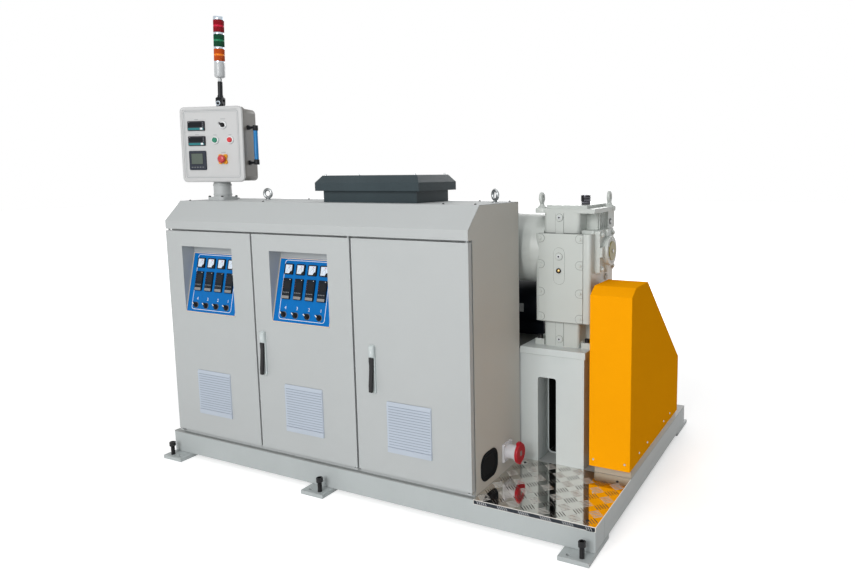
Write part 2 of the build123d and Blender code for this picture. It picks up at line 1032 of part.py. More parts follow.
with BuildPart() as control_box_lid:
    with BuildSketch(Plane.XZ.offset(-head_front - head_lid_thickness)):
        with Locations((0, head_height / 2)):
            RectangleRounded(head_width, head_height, head_corner)
    extrude(amount=head_lid_thickness)
    chamfer(control_box_lid.faces().sort_by(Axis.Y)[0].outer_wire().edges(), head_edge_chamfer)
    with BuildSketch(Plane.XZ.offset(-head_front)):
        with Locations((0, head_height / 2)):
            RectangleRounded(
                head_width - 2 * head_panel_inset, head_height - 2 * head_panel_inset, head_corner / 2
            )
    extrude(amount=-head_panel_step, mode=Mode.SUBTRACT)
save(control_box_lid.part.moved(head_plane.location), "control_box_lid")

with BuildPart() as head_meters:
    with BuildSketch(head_front_plane(-head_panel_step)):
        with Locations((meter_x, meter_upper_z), (meter_x, meter_lower_z)):
            Rectangle(meter_width, meter_height)
        with Locations((meter_x, display_z)):
            Rectangle(meter_width, meter_width)
    extrude(amount=instrument_proud)
save(head_meters.part, "head_meters")

# Selector knob, two push buttons and the emergency stop
button_plane = head_front_plane(-head_panel_step)
with BuildPart() as head_buttons:
    with BuildSketch(button_plane):
        with Locations((green_x, push_z), (red_x, push_z)):
            RegularPolygon(button_diameter / 2, button_sides)
    extrude(amount=button_proud)
    with BuildSketch(button_plane):
        with Locations((selector_x, selector_z)):
            RegularPolygon(selector_hub_diameter / 2, button_sides)
            Rectangle(selector_grip_length, selector_grip_width, rotation=selector_turn_degrees)
    extrude(amount=selector_proud)
    with BuildSketch(button_plane):
        with Locations((stop_x, stop_z)):
            RegularPolygon(stop_base_diameter / 2, button_sides)
    extrude(amount=stop_base_height)
    with BuildSketch(button_plane.offset(stop_base_height)):
        with Locations((stop_x, stop_z)):
            RegularPolygon(stop_head_diameter / 2, button_sides)
    extrude(amount=stop_head_height)
save(head_buttons.part, "head_buttons")

# Handle bar on the right side of the head
bar_ends = (handle_bar_z - handle_bar_length / 2, handle_bar_z + handle_bar_length / 2)
side_x = head_width / 2 - head_body_inset
with BuildPart(head_plane) as head_handle:
    with Locations((side_x + handle_bar_reach, 0, bar_ends[0])):
        Cylinder(
            handle_bar_diameter / 2,
            handle_bar_length,
            align=(Align.CENTER, Align.CENTER, Align.MIN),
        )
    for z in bar_ends:
        with Locations(Location((side_x, 0, z), (0, 90, 0))):
            Cylinder(
                handle_bracket_diameter / 2,
                handle_bar_reach,
                align=(Align.CENTER, Align.CENTER, Align.MIN),
            )
save(head_handle.part, "head_handle")

# Signal tower: foot, then folding pole, base, three lenses, rings and cap, which lean a little
tower_plane = Plane(head_plane.location * Location((0, tower_offset_y, 0)))
tower_floor = head_height - head_body_inset
fold_z = tower_floor + tower_fold_height
with BuildPart(tower_plane) as tower_foot:
    with Locations((0, 0, tower_floor)):
        Box(tower_foot_width, tower_foot_width, tower_foot_height, align=bottom_centered)
    with Locations((0, 0, fold_z)):
        Cylinder(tower_fold_radius, tower_fold_width, rotation=(90, 0, 0))
    with Locations((0, 0, tower_floor)):
        Box(
            2 * tower_fold_radius,
            tower_fold_width,
            tower_fold_height,
            align=bottom_centered,
        )
save(tower_foot.part, "tower_foot")

leaning_plane = Plane(
    tower_plane.location
    * Location((0, 0, fold_z), (0, tower_lean_degrees, 0))
    * Location((0, 0, -fold_z))
)
pole_foot = fold_z + tower_fold_radius + tower_fork_clearance
cheek_y = tower_fold_width / 2 + tower_fork_clearance + tower_fork_cheek / 2
tower_base_z = tower_floor + tower_pole_top
lens_pitch = tower_lens_height + tower_ring_height
with BuildPart(leaning_plane) as tower_pole:
    with Locations((0, 0, pole_foot)):
        Cylinder(tower_pole_diameter / 2, tower_base_z - pole_foot, align=bottom_centered)
    for side in (-1, 1):
        with Locations((0, side * cheek_y, fold_z)):
            Cylinder(tower_fold_radius, tower_fork_cheek, rotation=(90, 0, 0))
        with Locations((0, side * cheek_y, fold_z)):
            Box(
                2 * tower_fold_radius,
                tower_fork_cheek,
                pole_foot - fold_z + tower_fork_cheek,
                align=bottom_centered,
            )
    with Locations((0, 0, pole_foot)):
        Box(
            2 * tower_fold_radius,
            2 * cheek_y + tower_fork_cheek,
            tower_fork_cheek,
            align=bottom_centered,
        )
save(tower_pole.part, "tower_pole")

lens_bottom = tower_base_z + tower_neck_height + tower_base_height
with BuildPart(leaning_plane) as tower_body:
    with Locations((0, 0, tower_base_z)):
        Cone(
            tower_pole_diameter / 2 + tower_neck_flare,
            tower_diameter / 2,
            tower_neck_height,
            align=bottom_centered,
        )
    with Locations((0, 0, tower_base_z + tower_neck_height)):
        Cylinder(tower_diameter / 2, tower_base_height, align=bottom_centered)
    with Locations((0, 0, lens_bottom)):
        Box(tower_core_width, tower_core_width, 3 * lens_pitch, align=bottom_centered)
    for k in range(3):
        top = k == 2
        with Locations((0, 0, lens_bottom + k * lens_pitch + tower_lens_height)):
            Cylinder(
                tower_diameter / 2,
                tower_cap_height if top else tower_ring_height,
                align=bottom_centered,
            )
save(tower_body.part, "tower_body")

with BuildPart(leaning_plane) as tower_lenses:
    for k in range(3):
        with Locations((0, 0, lens_bottom + k * lens_pitch)):
            Cylinder(tower_diameter / 2, tower_lens_height, align=bottom_centered)
            Box(
                tower_core_width + tower_fork_clearance,
                tower_core_width + tower_fork_clearance,
                tower_lens_height,
                align=bottom_centered,
                mode=Mode.SUBTRACT,
            )
save(tower_lenses.part, "tower_lenses")

# Pedestal: a welded box with a tunnel from front to back
slot_left = pedestal_left + slot_left_offset
slot_right = slot_left + slot_width
slot_top = deck + slot_height
with BuildPart() as pedestal:
    block(pedestal_left, pedestal_right, pedestal_front, pedestal_back, deck, pedestal_top)
    with BuildSketch(Plane.XZ.offset(-pedestal_front)):
        with Locations(((slot_left + slot_right) / 2, (deck + slot_top) / 2 - slot_corner)):
            RectangleRounded(slot_width, slot_height + 2 * slot_corner, slot_corner)
    extrude(amount=-(pedestal_depth - pedestal_wall), mode=Mode.SUBTRACT)
    with BuildSketch(Plane.XZ.offset(-pedestal_back)):
        with Locations(((slot_left + slot_right) / 2, (deck + slot_top) / 2)):
            RectangleRounded(
                slot_width - 2 * slot_rear_inset,
                slot_height - 2 * slot_rear_inset,
                slot_rear_corner,
            )
    extrude(amount=pedestal_wall, mode=Mode.SUBTRACT)
save(pedestal.part, "pedestal")

with BuildPart() as pedestal_cap:
    block(
        pedestal_left,
        pedestal_right + pedestal_top_overhang,
        pedestal_front - pedestal_top_overhang,
        pedestal_back,
        pedestal_top,
        gearbox_floor,
    )
save(pedestal_cap.part, "pedestal_top")

# Gearbox housing: foot flange, body with niches at its corners, front bosses and top flange
gearbox_body_top = gearbox_floor + gearbox_body_height
cover_bottom = gearbox_floor + gearbox_cover_rise
cover_center = (gearbox_x + gearbox_cover_shift, cover_bottom + gearbox_cover_height / 2)
boss_x = gearbox_x + gearbox_boss_shift
foot_x = gearbox_x + gearbox_cover_shift
niche_floor = gearbox_body_top - gearbox_niche_height
with BuildPart() as gearbox_housing:
    block(
        gearbox_left, gearbox_right, gearbox_front, gearbox_back, gearbox_floor, gearbox_body_top
    )
    fillet(gearbox_housing.edges().filter_by(Axis.Z), gearbox_corner)
    for side in (-1, 1):
        niche_outer = gearbox_x + side * gearbox_width / 2
        niche_inner = niche_outer - side * gearbox_niche_depth
        boss_side = boss_x + side * gearbox_boss_width / 2
        for z0, z1 in (
            (niche_floor, gearbox_body_top),
            (gearbox_floor + gearbox_foot_height, cover_bottom),
        ):
            block(
                min(niche_outer, boss_side),
                max(niche_outer, boss_side),
                gearbox_front,
                gearbox_front + gearbox_niche_setback,
                z0,
                z1,
                mode=Mode.SUBTRACT,
            )
        block(
            min(niche_outer, niche_inner),
            max(niche_outer, niche_inner),
            gearbox_front + gearbox_niche_setback,
            gearbox_back - gearbox_lug_width,
            niche_floor,
            gearbox_body_top,
            mode=Mode.SUBTRACT,
        )
        for k in range(gearbox_rib_count):
            rib_y = gearbox_front + gearbox_rib_setback + k * gearbox_rib_pitch
            rib_outer = niche_inner + side * gearbox_rib_height
            block(
                min(niche_inner, rib_outer),
                max(niche_inner, rib_outer),
                rib_y,
                rib_y + gearbox_rib_width,
                niche_floor,
                gearbox_body_top,
            )
        lug_outer = niche_outer + side * gearbox_lug_proud
        block(
            min(niche_inner, lug_outer),
            max(niche_inner, lug_outer),
            gearbox_back - gearbox_lug_width,
            gearbox_back,
            niche_floor,
            gearbox_body_top,
        )
        foot_outer = foot_x + side * gearbox_foot_width / 2
        foot_inner = foot_outer - side * gearbox_foot_length
        for y0 in (gearbox_front - gearbox_boss_proud, gearbox_back):
            block(
                min(foot_outer, foot_inner),
                max(foot_outer, foot_inner),
                y0,
                y0 + gearbox_boss_proud,
                gearbox_floor,
                gearbox_floor + gearbox_foot_height,
            )
        block(
            min(foot_outer, niche_outer - side * gearbox_corner),
            max(foot_outer, niche_outer - side * gearbox_corner),
            gearbox_front - gearbox_boss_proud,
            gearbox_back + gearbox_boss_proud,
            gearbox_floor,
            gearbox_floor + gearbox_foot_height,
        )
    with BuildSketch(Plane.XY.offset(cover_bottom)):
        with Locations((gearbox_x, gearbox_front)):
            RectangleRounded(gearbox_width, 2 * gearbox_frame_proud, gearbox_boss_round)
    extrude(amount=gearbox_cover_height)
    band_x = gearbox_x + gearbox_band_shift
    boss_spans = (
        (gearbox_floor, gearbox_floor + gearbox_lower_boss_height),
        (gearbox_body_top - gearbox_upper_boss_height, gearbox_body_top),
    )
    for z0, z1 in boss_spans:
        with BuildSketch(Plane.XY.offset(z0)):
            with Locations((boss_x, gearbox_front)):
                RectangleRounded(
                    gearbox_boss_width, 2 * gearbox_boss_proud, gearbox_boss_round
                )
        extrude(amount=z1 - z0)
        block(
            band_x - gearbox_band_width / 2,
            band_x + gearbox_band_width / 2,
            gearbox_front - gearbox_boss_proud - gearbox_band_proud,
            gearbox_front,
            z0,
            z1,
        )
    with BuildSketch(Plane.XZ.offset(-gearbox_front + gearbox_boss_proud)):
        with Locations(
            (band_x, gearbox_body_top - plug_below_body_top),
            (band_x, gearbox_floor + plug_on_lower_boss),
        ):
            Circle(plug_diameter / 2)
    extrude(amount=plug_proud)
    block(
        gearbox_x - gearbox_top_flange_width / 2,
        gearbox_x + gearbox_top_flange_width / 2,
        gearbox_front - gearbox_boss_proud,
        gearbox_back,
        gearbox_body_top,
        gearbox_body_top + gearbox_top_flange_height,
    )
    block(
        gearbox_x - gearbox_top_flange_width / 2 + top_cover_margin,
        gearbox_x + gearbox_top_flange_width / 2 - top_cover_margin,
        gearbox_front,
        gearbox_back,
        gearbox_body_top + gearbox_top_flange_height,
        gearbox_body_top + gearbox_top_flange_height + top_cover_height,
    )
    with BuildSketch(Plane.XZ.offset(-gearbox_front)):
        with Locations(cover_center):
            RectangleRounded(gearbox_cover_width, gearbox_cover_height, gearbox_cover_corner)
    extrude(amount=gearbox_cover_proud, mode=Mode.SUBTRACT)
save(gearbox_housing.part, "gearbox_housing")

cover_face = Plane(
    (cover_center[0], gearbox_front - gearbox_cover_proud, cover_center[1]),
    x_dir=(1, 0, 0),
    z_dir=(0, -1, 0),
)
pad_rows = [(k / 3 - 0.5) * (gearbox_cover_height - 2 * gearbox_cover_corner) for k in range(4)]
cover_pads = [
    (side * gearbox_cover_width / 2, z) for side in (-1, 1) for z in pad_rows
]
with BuildPart() as gearbox_cover:
    with BuildSketch(Plane.XZ.offset(-gearbox_front)):
        with Locations(cover_center):
            RectangleRounded(gearbox_cover_width, gearbox_cover_height, gearbox_cover_corner)
    extrude(amount=gearbox_cover_proud)
    with BuildSketch(cover_face):
        with Locations(*cover_pads):
            Circle(cover_pad_radius)
    extrude(amount=-cover_pad_depth, mode=Mode.SUBTRACT)
    with BuildSketch(cover_face):
        with Locations((0, cover_oval_above_middle)):
            SlotOverall(cover_oval_height, cover_oval_width, rotation=90)
    extrude(amount=cover_oval_proud)
    with BuildSketch(cover_face):
        with Locations((0, cover_plug_above_middle)):
            Circle(plug_diameter / 2)
    extrude(amount=cover_oval_proud + plug_proud)
    with BuildSketch(cover_face):
        with Locations((0, sight_glass_above_middle)):
            Circle(sight_glass_diameter / 2)
    extrude(amount=cover_oval_proud + sight_glass_proud)
save(gearbox_cover.part, "gearbox_cover")

# Lifting eyes on two corners of the gearbox's top flange, and its breather
flange_top = gearbox_body_top + gearbox_top_flange_height
eye_span = gearbox_top_flange_width / 2 - gearbox_eye_inset
with BuildPart() as gearbox_eyes:
    for x, y in (
        (gearbox_x - eye_span, gearbox_front - gearbox_boss_proud + gearbox_eye_inset),
        (gearbox_x + eye_span, gearbox_back - gearbox_eye_inset),
    ):
        ring_z = flange_top + gearbox_eye_neck_height + gearbox_eye_radius
        with BuildSketch(Plane.YZ.offset(x - gearbox_eye_wire)):
            with Locations((y, ring_z)):
                RegularPolygon(gearbox_eye_radius + gearbox_eye_wire, eye_sides)
            with Locations((y, (flange_top + ring_z) / 2)):
                Rectangle(gearbox_eye_neck_width, ring_z - flange_top)
            with Locations((y, ring_z)):
                RegularPolygon(
                    gearbox_eye_radius - gearbox_eye_wire, eye_sides, mode=Mode.SUBTRACT
                )
        extrude(amount=2 * gearbox_eye_wire)
save(gearbox_eyes.part, "gearbox_eyes")

breather_foot = flange_top + top_cover_height
with BuildPart() as breather:
    with BuildSketch(Plane.XY.offset(breather_foot)):
        with Locations((gearbox_x + breather_right_of_middle, axis_y + breather_behind_axis)):
            RegularPolygon(breather_hex / 2, 6)
    extrude(amount=breather_hex_height)
    with Locations(
        (
            gearbox_x + breather_right_of_middle,
            axis_y + breather_behind_axis,
            breather_foot + breather_hex_height,
        )
    ):
        Cylinder(
            breather_diameter / 2,
            breather_height,
            align=(Align.CENTER, Align.CENTER, Align.MIN),
        )
save(breather.part, "breather")

# Bearing flange and shaft cap on the right side of the gearbox
with BuildPart() as bearing_flange:
    with BuildSketch(Plane.YZ.offset(gearbox_right)):
        with Locations((axis_y, axis_z)):
            RectangleRounded(bearing_flange_size, bearing_flange_size, gearbox_corner)
    extrude(amount=bearing_flange_thickness)
    with BuildSketch(Plane.YZ.offset(gearbox_right + bearing_flange_thickness)):
        with Locations((axis_y, axis_z)):
            Circle(bearing_boss_diameter / 2)
    extrude(amount=bearing_boss_length)
save(bearing_flange.part, "bearing_flange")

cap_x = gearbox_right + bearing_flange_thickness + bearing_boss_length
with BuildPart() as shaft_cap:
    with BuildSketch(Plane.YZ.offset(cap_x)):
        with Locations((axis_y, axis_z)):
            Circle(shaft_cap_diameter / 2)
    extrude(amount=shaft_cap_length)
save(shaft_cap.part, "shaft_cap")

# Bell housing and feed section on the screw axis, left of the gearbox
bell_left = gearbox_left - bell_length
feed_left = bell_left - feed_length
bell_plane = Plane(origin=(bell_left, axis_y, axis_z), x_dir=(1, 0, 0), z_dir=(0, -1, 0))
with BuildPart() as bell_housing:
    with BuildSketch(bell_plane):
        with BuildLine():
            Polyline(
                (0, 0),
                (0, bell_neck_diameter / 2),
                (bell_shoulder_start, bell_neck_diameter / 2),
                (bell_shoulder_end, bell_diameter / 2),
                (bell_flange_start, bell_diameter / 2),
                (bell_length, bell_mouth_diameter / 2),
                (bell_length, 0),
                close=True,
            )
        make_face()
    revolve(axis=Axis((bell_left, axis_y, axis_z), (1, 0, 0)))
save(bell_housing.part, "bell_housing")

with BuildPart() as feed_section:
    block(
        feed_left,
        bell_left,
        axis_y - feed_size / 2,
        axis_y + feed_size / 2,
        axis_z - feed_size / 2,
        axis_z + feed_size / 2 - feed_flange_thickness,
    )
    feed_x = (feed_left + bell_left) / 2
    with BuildSketch(Plane.XY.offset(axis_z + feed_size / 2 - feed_flange_thickness)):
        with Locations((feed_x, axis_y)):
            Rectangle(feed_length, feed_flange)
    extrude(amount=feed_flange_thickness)
    with Locations((feed_x, axis_y, axis_z + feed_size / 2)):
        Hole(feed_throat / 2, depth=feed_size / 2)
save(feed_section.part, "feed_section")

# Barrel with its outlet flange, and the cover over its heaters
barrel_length = sheet + barrel_cover_length + barrel_nose
barrel_left = feed_left - barrel_length
with BuildPart() as barrel:
    with BuildSketch(Plane.YZ.offset(barrel_left)):
        with Locations((axis_y, axis_z)):
            Circle(barrel_diameter / 2)
    extrude(amount=barrel_length)
    with BuildSketch(Plane.YZ.offset(barrel_left)):
        with Locations((axis_y, axis_z)):
            Circle(barrel_flange_diameter / 2)
    extrude(amount=barrel_flange_thickness)
    with BuildSketch(Plane.YZ.offset(barrel_left)):
        with Locations((axis_y, axis_z)):
            Circle(barrel_bore / 2)
    extrude(amount=barrel_bore_depth, mode=Mode.SUBTRACT)
save(barrel.part, "barrel")

cover_left = feed_left - barrel_cover_length - sheet
with BuildPart() as barrel_cover:
    with BuildSketch(Plane.YZ.offset(cover_left)):
        with Locations((axis_y, axis_z + (barrel_cover_above - barrel_cover_below) / 2)):
            Rectangle(barrel_cover_width, barrel_cover_above + barrel_cover_below)
    extrude(amount=barrel_cover_length)
    chamfer(
        barrel_cover.edges().filter_by(Axis.X).group_by(Axis.Z)[-1], barrel_cover_chamfer
    )
    with BuildSketch(Plane.YZ.offset(cover_left)):
        with Locations((axis_y, axis_z)):
            Circle(barrel_diameter / 2 + pivot_clearance)
    extrude(amount=barrel_cover_length, mode=Mode.SUBTRACT)
save(barrel_cover.part, "barrel_cover")

# Stand behind the cabinet that carries the barrel and a cooling blower
stand_left = base_left + stand_left_inset
stand_right = pedestal_left
stand_front = cabinet_back + stand_setback
stand_top = deck + stand_top_above_deck
with BuildPart() as barrel_stand:
    block(
        stand_left + stand_plinth_inset,
        stand_right,
        stand_front,
        stand_front + stand_depth - stand_plinth_inset,
        deck,
        deck + stand_plinth_height,
    )
    block(
        stand_left,
        stand_right,
        stand_front,
        stand_front + stand_depth,
        deck + stand_plinth_height,
        stand_top - stand_top_plate,
    )
    block(
        stand_left - stand_top_overhang,
        stand_right,
        stand_front,
        stand_front + stand_depth + stand_top_overhang,
        stand_top - stand_top_plate,
        stand_top,
    )
    for x0 in (
        cover_left + barrel_support_inset,
        cover_left + barrel_cover_length - barrel_support_inset - barrel_support_length,
    ):
        block(
            x0,
            x0 + barrel_support_length,
            axis_y - barrel_cover_width / 2 + barrel_support_edge,
            axis_y + barrel_cover_width / 2 - barrel_support_edge,
            stand_top,
            axis_z - barrel_cover_below,
        )
save(barrel_stand.part, "barrel_stand")

blower_right = stand_right - sheet
blower_left = blower_right - blower_length
blower_y = stand_front + stand_depth - blower_depth / 2
blower_z = stand_top + blower_height / 2
blower_case_length = blower_length - blower_motor_length
with BuildPart() as cooling_blower:
    with BuildSketch(Plane.YZ.offset(blower_right - blower_case_length)):
        with Locations((blower_y, blower_z)):
            Circle(min(blower_volute_diameter, blower_depth) / 2)
        with Locations((blower_y + blower_depth / 4, (blower_z + stand_top + blower_height) / 2)):
            Rectangle(blower_depth / 2, blower_height / 2)
        with Locations((blower_y, (blower_z + stand_top) / 2)):
            Rectangle(blower_motor_diameter, blower_height / 2)
    extrude(amount=blower_case_length)
    with Locations(Location((blower_left, blower_y, blower_z), (0, 90, 0))):
        Cylinder(
            blower_motor_diameter / 2,
            blower_motor_length,
            align=(Align.CENTER, Align.CENTER, Align.MIN),
        )
save(cooling_blower.part, "cooling_blower")

# Belt guard: a closed sheet case with a sloping back
guard_outline = [
    (guard_front, deck + guard_bottom),
    (guard_front, deck + guard_crease),
    (guard_front + guard_top_front, deck + guard_top),
    (guard_front + guard_top_rear, deck + guard_top),
    (guard_rear, deck + guard_rear_height),
    (guard_rear, deck + guard_bottom),
]
with BuildPart() as belt_guard:
    with BuildSketch(Plane.YZ.offset(guard_left)):
        with BuildLine():
            Polyline(*guard_outline, close=True)
        make_face()
    extrude(amount=guard_width)
    fillet(belt_guard.edges().filter_by(Axis.X), guard_edge_round)
save(belt_guard.part, "belt_guard")

with BuildPart() as guard_sill:
    block(
        guard_left + sill_inset,
        base_right,
        guard_front + sill_inset,
        guard_rear - sill_inset,
        deck,
        deck + guard_bottom,
    )
save(guard_sill.part, "guard_sill")

# Drive motor on the deck, behind the pedestal
motor_y = base_front + motor_axis_offset
motor_z = deck + motor_axis_above_deck
motor_right = guard_left - motor_gap
motor_left = motor_right - motor_length
motor_body_left = motor_left + motor_cowl_length
motor_body_right = motor_right - motor_shield_length
motor_core = motor_diameter / 2 - motor_fin_height
box_left = motor_body_left + motor_box_setback
with BuildPart() as drive_motor:
    for x0, x1, radius in (
        (motor_left, motor_body_left, motor_diameter / 2),
        (motor_body_right, motor_right, motor_diameter / 2),
        (motor_right, motor_right + motor_gap, motor_spigot_diameter / 2),
    ):
        with BuildSketch(Plane.YZ.offset(x0)):
            with Locations((motor_y, motor_z)):
                Circle(radius)
        extrude(amount=x1 - x0)
    with BuildSketch(Plane.YZ.offset(motor_body_left)):
        with Locations((motor_y, motor_z)):
            RegularPolygon(motor_core, motor_fin_count)
            with PolarLocations(motor_core + motor_fin_height / 2, motor_fin_count):
                Rectangle(motor_fin_height + motor_fin_root, motor_fin_thickness)
    extrude(amount=motor_body_right - motor_body_left)
    block(
        motor_body_left + motor_foot_inset,
        motor_body_right - motor_foot_inset,
        motor_y - motor_diameter / 2,
        motor_y + motor_diameter / 2,
        deck,
        deck + motor_foot_height,
    )
    block(
        motor_body_left + motor_foot_inset,
        motor_body_right - motor_foot_inset,
        motor_y - motor_web_width / 2,
        motor_y + motor_web_width / 2,
        deck + motor_foot_height,
        motor_z,
    )
    block(
        box_left,
        box_left + motor_box_length,
        motor_y - motor_box_width / 2,
        motor_y + motor_box_width / 2,
        motor_z + motor_core,
        motor_z + motor_diameter / 2 + motor_box_height,
    )
save(drive_motor.part, "drive_motor")
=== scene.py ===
import math

import bpy
import numpy as np
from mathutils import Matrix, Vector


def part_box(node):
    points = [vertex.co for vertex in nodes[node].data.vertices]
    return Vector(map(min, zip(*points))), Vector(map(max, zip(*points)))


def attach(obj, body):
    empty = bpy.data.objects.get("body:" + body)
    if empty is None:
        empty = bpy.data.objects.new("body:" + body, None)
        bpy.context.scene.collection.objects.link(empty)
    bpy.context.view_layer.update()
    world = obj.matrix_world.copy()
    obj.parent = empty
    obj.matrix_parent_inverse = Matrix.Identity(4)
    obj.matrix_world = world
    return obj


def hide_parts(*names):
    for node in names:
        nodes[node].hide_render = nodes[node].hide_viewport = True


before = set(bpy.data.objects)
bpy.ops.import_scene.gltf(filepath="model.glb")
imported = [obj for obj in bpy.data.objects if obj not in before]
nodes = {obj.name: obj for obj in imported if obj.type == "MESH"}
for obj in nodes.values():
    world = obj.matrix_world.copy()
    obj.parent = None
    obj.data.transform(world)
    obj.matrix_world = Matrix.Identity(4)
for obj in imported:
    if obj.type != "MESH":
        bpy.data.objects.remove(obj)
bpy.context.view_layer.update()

# Base frame: welded box beams in grey paint, with feet that are bolted down.
# The paint is a satin two-pack coat, a little dusty, with fine orange peel.


def wire(tree, node, inputs):
    """Sets a shader node's sockets: a (node, output) pair is linked in, and anything else is a constant."""
    for socket, value in inputs.items():
        if isinstance(value, tuple) and isinstance(value[0], bpy.types.Node):
            tree.links.new(value[0].outputs[value[1]], node.inputs[socket])
        else:
            node.inputs[socket].default_value = value


def add(tree, kind, inputs, operation=None):
    """A new shader node with its sockets set."""
    node = tree.nodes.new("ShaderNode" + kind)
    if operation:
        node.operation = operation
    wire(tree, node, inputs)
    return node


def blank(name):
    """A new material, its node tree and its main shader."""
    m = bpy.data.materials.new(name)
    m.use_nodes = True
    return m, m.node_tree, m.node_tree.nodes["Principled BSDF"]


def painted(name, colour, rough=0.42, grain=0.9, peel=0.05, cloud=0.05, dust=0.0, coat=0.0, shine=0.5):
    """A coated sheet: a slow cloud noise shifts the colour by a few percent and the gloss with it,
    and a fine noise of grain millimetres raises the orange peel. Dust pales the colour in patches, and shine is
    the strength of the clear reflection."""
    m, tree, shader = blank(name)
    place = (add(tree, "TexCoord", {}), "Object")
    slow = (add(tree, "TexNoise", {"Scale": 3.1, "Detail": 6.0, "Roughness": 0.62, "Vector": place}), "Fac")
    fine = (add(tree, "TexNoise", {"Scale": 1000.0 / grain, "Detail": 2.0, "Vector": place}), "Fac")
    tone = add(tree, "ValToRGB", {"Fac": slow})
    for stop, position, gain, pale in zip(tone.color_ramp.elements, (0.3, 0.72), (1.0 - cloud, 1.0 + cloud),
                                          (0.0, dust * 0.05)):
        stop.position = position
        stop.color = (*[min(c * gain + pale, 1.0) for c in colour], 1.0)
    gloss = add(tree, "MapRange", {"Value": slow, "To Min": max(rough - 0.07, 0.05), "To Max": min(rough + 0.09, 1.0)})
    bump = add(tree, "Bump", {"Height": fine, "Strength": peel * 4.0, "Distance": 0.0004})
    wire(tree, shader, {"Base Color": (tone, "Color"), "Roughness": (gloss, "Result"), "Normal": (bump, "Normal"),
                        "Specular IOR Level": shine, "Coat Weight": coat, "Coat Roughness": 0.15})
    return m


def dress(finish, *names, edge=0.0):
    """Gives CAD nodes one finish in place of the record's own. With an edge, their loose faces are welded and their
    edges rounded by that many metres, as a press brake or a mould leaves them."""
    for name in names:
        part = nodes[name]
        part.data.materials.clear()
        part.data.materials.append(finish)
        if edge:
            part.modifiers.new("weld", "WELD").merge_threshold = 0.00002
            bevel = part.modifiers.new("edge", "BEVEL")
            bevel.width, bevel.segments = edge, 2
            bevel.limit_method, bevel.angle_limit = "ANGLE", math.radians(40)
            bevel.harden_normals = False


base_grey = painted("base_grey_paint", (0.455, 0.49, 0.49), rough=0.45)
dress(base_grey, "long_beams", "cross_beams", edge=0.003)
dress(base_grey, "foot_plates", edge=0.001)

# Levelling bolts: M20 socket head screws, blackened, that stand in the feet.
# Their threads are tapped into the plates, so the base is lifted by turning them.
MM = 0.001
UP, FRONT, RIGHT = ((1, 0, 0), (0, 1, 0)), ((1, 0, 0), (0, 0, 1)), ((0, 1, 0), (0, 0, 1))
BACK, LEFT = ((-1, 0, 0), (0, 0, 1)), ((0, -1, 0), (0, 0, 1))


def skin(loops):
    """Faces between neighbouring loops of points, in rows of four-sided faces. One face closes each end."""
    n, m = loops.shape[:2]
    i, j = np.meshgrid(np.arange(n - 1), np.arange(m), indexing="ij")
    a, b = i * m + j, i * m + (j + 1) % m
    faces = np.stack([a, b, b + m, a + m], -1).reshape(-1, 4).tolist()
    return loops.reshape(-1, 3), faces + [list(range(m))[::-1], list(range((n - 1) * m, n * m))]


def turned(levels, sides=32):
    """A turned piece: each level (radius, height) is a circle of that radius about the local Z axis."""
    r, z = np.array(levels, float).T
    t = np.linspace(0, 2 * np.pi, sides, endpoint=False)
    return skin(np.stack([np.outer(r, np.cos(t)), np.outer(r, np.sin(t)), np.outer(z, np.ones(sides))], -1))


def plate(width, length, corner, levels, arc=5):
    """A rounded rectangle carried through levels of (inset, height). A corner is a quarter circle, less the inset."""
    t = np.linspace(0, np.pi / 2, arc)[None, :] + np.arange(4)[:, None] * np.pi / 2
    sx, sy = np.array([1, -1, -1, 1])[:, None], np.array([1, 1, -1, -1])[:, None]
    inset, z = [v[:, None, None] for v in np.array(levels, float).T]
    r = np.maximum(corner - inset, 0.1)
    x = sx * (width / 2 - inset - r) + r * np.cos(t)
    y = sy * (length / 2 - inset - r) + r * np.sin(t)
    return skin(np.stack([x, y, z + 0 * x], -1).reshape(len(levels), -1, 3))


def at(finish, shape, origin, axes=UP):
    """A part: the shape, in millimetres, with its local X and Y along the axes and its origin at a point in metres."""
    ex, ey = np.array(axes, float)
    return MM * shape[0] @ np.stack([ex, ey, np.cross(ex, ey)]) + np.array(origin, float), shape[1], finish


def make(name, body, parts, instead=(), smooth=38):
    """One piece from parts of (points, faces, finish), joined. Edges sharper than smooth degrees stay crisp."""
    faces, index, used, shift = [], [], [], 0
    for points, rims, finish in parts:
        if finish not in used:
            used.append(finish)
        faces += [[i + shift for i in rim] for rim in rims]
        index += [used.index(finish)] * len(rims)
        shift += len(points)
    mesh = bpy.data.meshes.new(name)
    mesh.from_pydata(np.concatenate([part[0] for part in parts]).tolist(), [], faces)
    mesh.polygons.foreach_set("material_index", np.array(index, np.int32))
    mesh.shade_smooth()
    mesh.set_sharp_from_angle(angle=math.radians(smooth))
    for finish in used:
        mesh.materials.append(finish)
    piece = bpy.data.objects.new(name, mesh)
    bpy.context.scene.collection.objects.link(piece)
    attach(piece, body)
    if instead:
        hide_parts(*instead)
    return piece


def socket_screw(shank, length, head, height):
    """A socket head cap screw from its seat: shank, head with a broken edge, and the hexagon socket in its top."""
    top = length + height
    return turned([(shank / 2, 0), (shank / 2, length), (head / 2, length), (head / 2, top - 1), (head / 2 - 1, top),
                   (head * 0.3, top), (head * 0.29, length + height * 0.45)], 24)


def thread(diameter, pitch, length):
    """A threaded shank: its radius swings by nearly half the pitch at each turn."""
    count = 2 * int(length / pitch) + 1
    return turned([(diameter / 2 - (i % 2) * pitch * 0.45, i * pitch / 2) for i in range(count)], 24)


def nut(across, bore, height):
    """A hexagon nut with chamfered corners."""
    r = across / math.sqrt(3)
    return turned([(r * 0.93, 0), (r, height * 0.12), (r, height * 0.88), (r * 0.93, height), (bore / 2, height)], 6)


